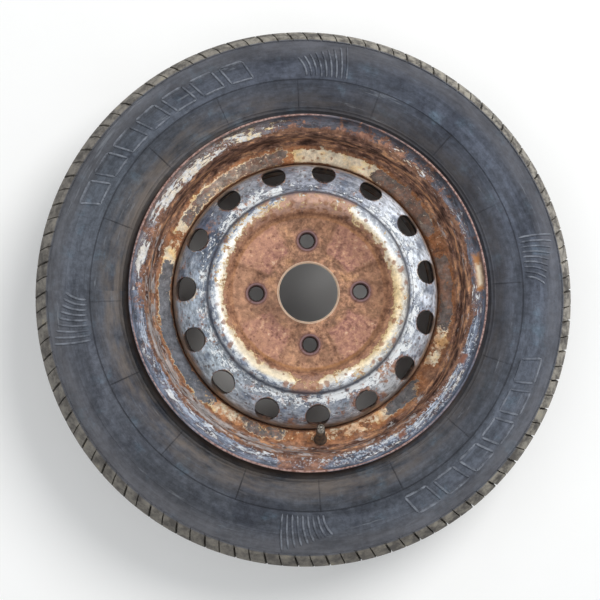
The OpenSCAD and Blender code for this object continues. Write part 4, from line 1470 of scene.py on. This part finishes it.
def make_simple(name, base, second, scale, roughness, metallic):
    material, n, surface = new_material(name)
    place = n.group(WHEEL_PLACE)
    stain = n.noise(place["Place"], scale, 6.0, 0.6)
    n.feed(surface.inputs["Base Color"], n.over(n.band(stain, 0.35, 0.65), base, second))
    surface.inputs["Roughness"].default_value = roughness
    surface.inputs["Metallic"].default_value = metallic
    bump(n, surface, stain, 0.0002, 0.5)
    return material


RIM_PAINT = make_rim_paint()
DISC_RUST = make_disc_rust()
TYRE_RUBBER = make_tyre_rubber("tyre_rubber", 0.0)
RAISED_RUBBER = make_tyre_rubber("raised_rubber", 0.72)
VALVE_RUBBER = make_simple("valve_rubber", (62, 58, 54), (104, 84, 68), 300.0, 0.75, 0.0)
BRASS = make_simple("brass", (150, 146, 138), (86, 78, 70), 700.0, 0.45, 0.7)
PIN_STEEL = make_simple("pin_steel", (210, 210, 206), (150, 146, 140), 500.0, 0.3, 0.9)
SEAL_RUBBER = make_simple("seal_rubber", (110, 50, 42), (80, 40, 36), 500.0, 0.6, 0.0)

piece_of_wheel("rim_shell", make_rim(), RIM_PAINT, "rim_paint", "rim")
piece_of_wheel("pressed_disc", make_wheel_disc(), DISC_RUST, "disc_rust", "wheel_disc")
piece_of_wheel("weld_beads", make_weld_beads(), DISC_RUST, "disc_rust")
piece_of_wheel("tyre_casing", make_tyre(), TYRE_RUBBER, "tyre_rubber", "tyre")
piece_of_wheel("sidewall_marks", make_sidewall_marks(), RAISED_RUBBER, "tyre_rubber")
piece_of_wheel("rubber_stem", make_valve_stem(), VALVE_RUBBER, "valve_rubber", "valve_stem")
piece_of_wheel("threaded_insert", make_valve_insert(), BRASS, "brass", "valve_insert")
for node, finish in (("core_plug", BRASS), ("core_pin", PIN_STEEL), ("core_barrel", BRASS),
                     ("core_gasket", SEAL_RUBBER), ("core_spring", PIN_STEEL),
                     ("core_plunger", SEAL_RUBBER)):
    for slot in frame["nodes"][node].material_slots:
        slot.material = finish


# ---------------------------------------------------------------- stage
def looked_at(n):
    """1 for what the camera sees itself, in a reflection or through glass."""
    path = n.add("ShaderNodeLightPath").outputs
    return n.maths("MAXIMUM", path["Is Camera Ray"], n.maths("MAXIMUM", path["Is Glossy Ray"],
                                                             path["Is Transmission Ray"]))


def make_stage():
    material, n, surface = new_material("floor")
    place = n.add("ShaderNodeTexCoord").outputs["Object"]
    n.feed(surface.inputs["Base Color"], n.over(n.noise(place, 8.0), (236, 235, 232),
        (242, 241, 239)))
    surface.inputs["Roughness"].default_value = 0.9
    seen = looked_at(n)
    split = n.add("ShaderNodeSeparateXYZ", {"Vector": place}).outputs
    away = n.maths("SQRT", n.plus(n.times(split[0], split[0]), n.times(split[1], split[1])))
    glow = n.add("ShaderNodeEmission", {"Strength": n.times(seen, 0.14, n.band(away, 0.2, 0.3))})
    both = n.add("ShaderNodeAddShader", {0: surface.outputs[0], 1: glow.outputs[0]})
    n.feed(n.tree.nodes["Material Output"].inputs["Surface"], both.outputs[0])
    shape = bmesh.new()
    bmesh.ops.create_grid(shape, x_segments=1, y_segments=1, size=6)
    floor = plain_object("floor", shape)
    floor.data.materials.append(material)


def add_lamp(name, position, aim, size, power):
    lamp = bpy.data.lights.new(name, "AREA")
    lamp.shape = "DISK"
    lamp.size = size
    lamp.energy = power
    holder = bpy.data.objects.new(name, lamp)
    holder.location = position
    holder.rotation_euler = (Vector(position) - Vector(aim)).to_track_quat("Z", "Y").to_euler()
    bpy.context.scene.collection.objects.link(holder)


def add_camera():
    view = bpy.data.cameras.new("camera")
    view.lens = 72.4
    view.sensor_width = 36.0
    holder = bpy.data.objects.new("camera", view)
    aim = Vector((-0.0110, -0.0104, LIP_Z * MM))
    away = Vector((-0.1030, -0.1308, 1.4493)) - aim
    back = away.normalized()
    up = (Vector((0, 1, 0)) - back * back.y).normalized()
    right = up.cross(back)
    turn = Matrix((right, up, back)).transposed().to_4x4()
    holder.matrix_world = Matrix.Translation(aim + away) @ turn
    bpy.context.scene.collection.objects.link(holder)
    bpy.context.scene.camera = holder


add_camera()
make_stage()
add_lamp("key", (0.9, 0.9, 2.0), (0, 0, 0.1), 1.2, 34)
add_lamp("fill", (-1.2, -0.6, 2.2), (0, 0, 0.1), 2.0, 12)
world = bpy.data.worlds.new("studio")
world.use_nodes = True
sky = Nodes(world.node_tree)
seen = looked_at(sky)
backdrop = sky.tree.nodes["Background"]
sky.feed(backdrop.inputs["Color"], sky.over(seen, (0.9, 0.95, 1.0, 1.0), (1.0, 1.0, 1.0, 1.0)))
sky.feed(backdrop.inputs["Strength"], sky.band(seen, 0.0, 1.0, 0.45, 1.0))
bpy.context.scene.world = world
bpy.context.scene.view_settings.view_transform = "Standard"
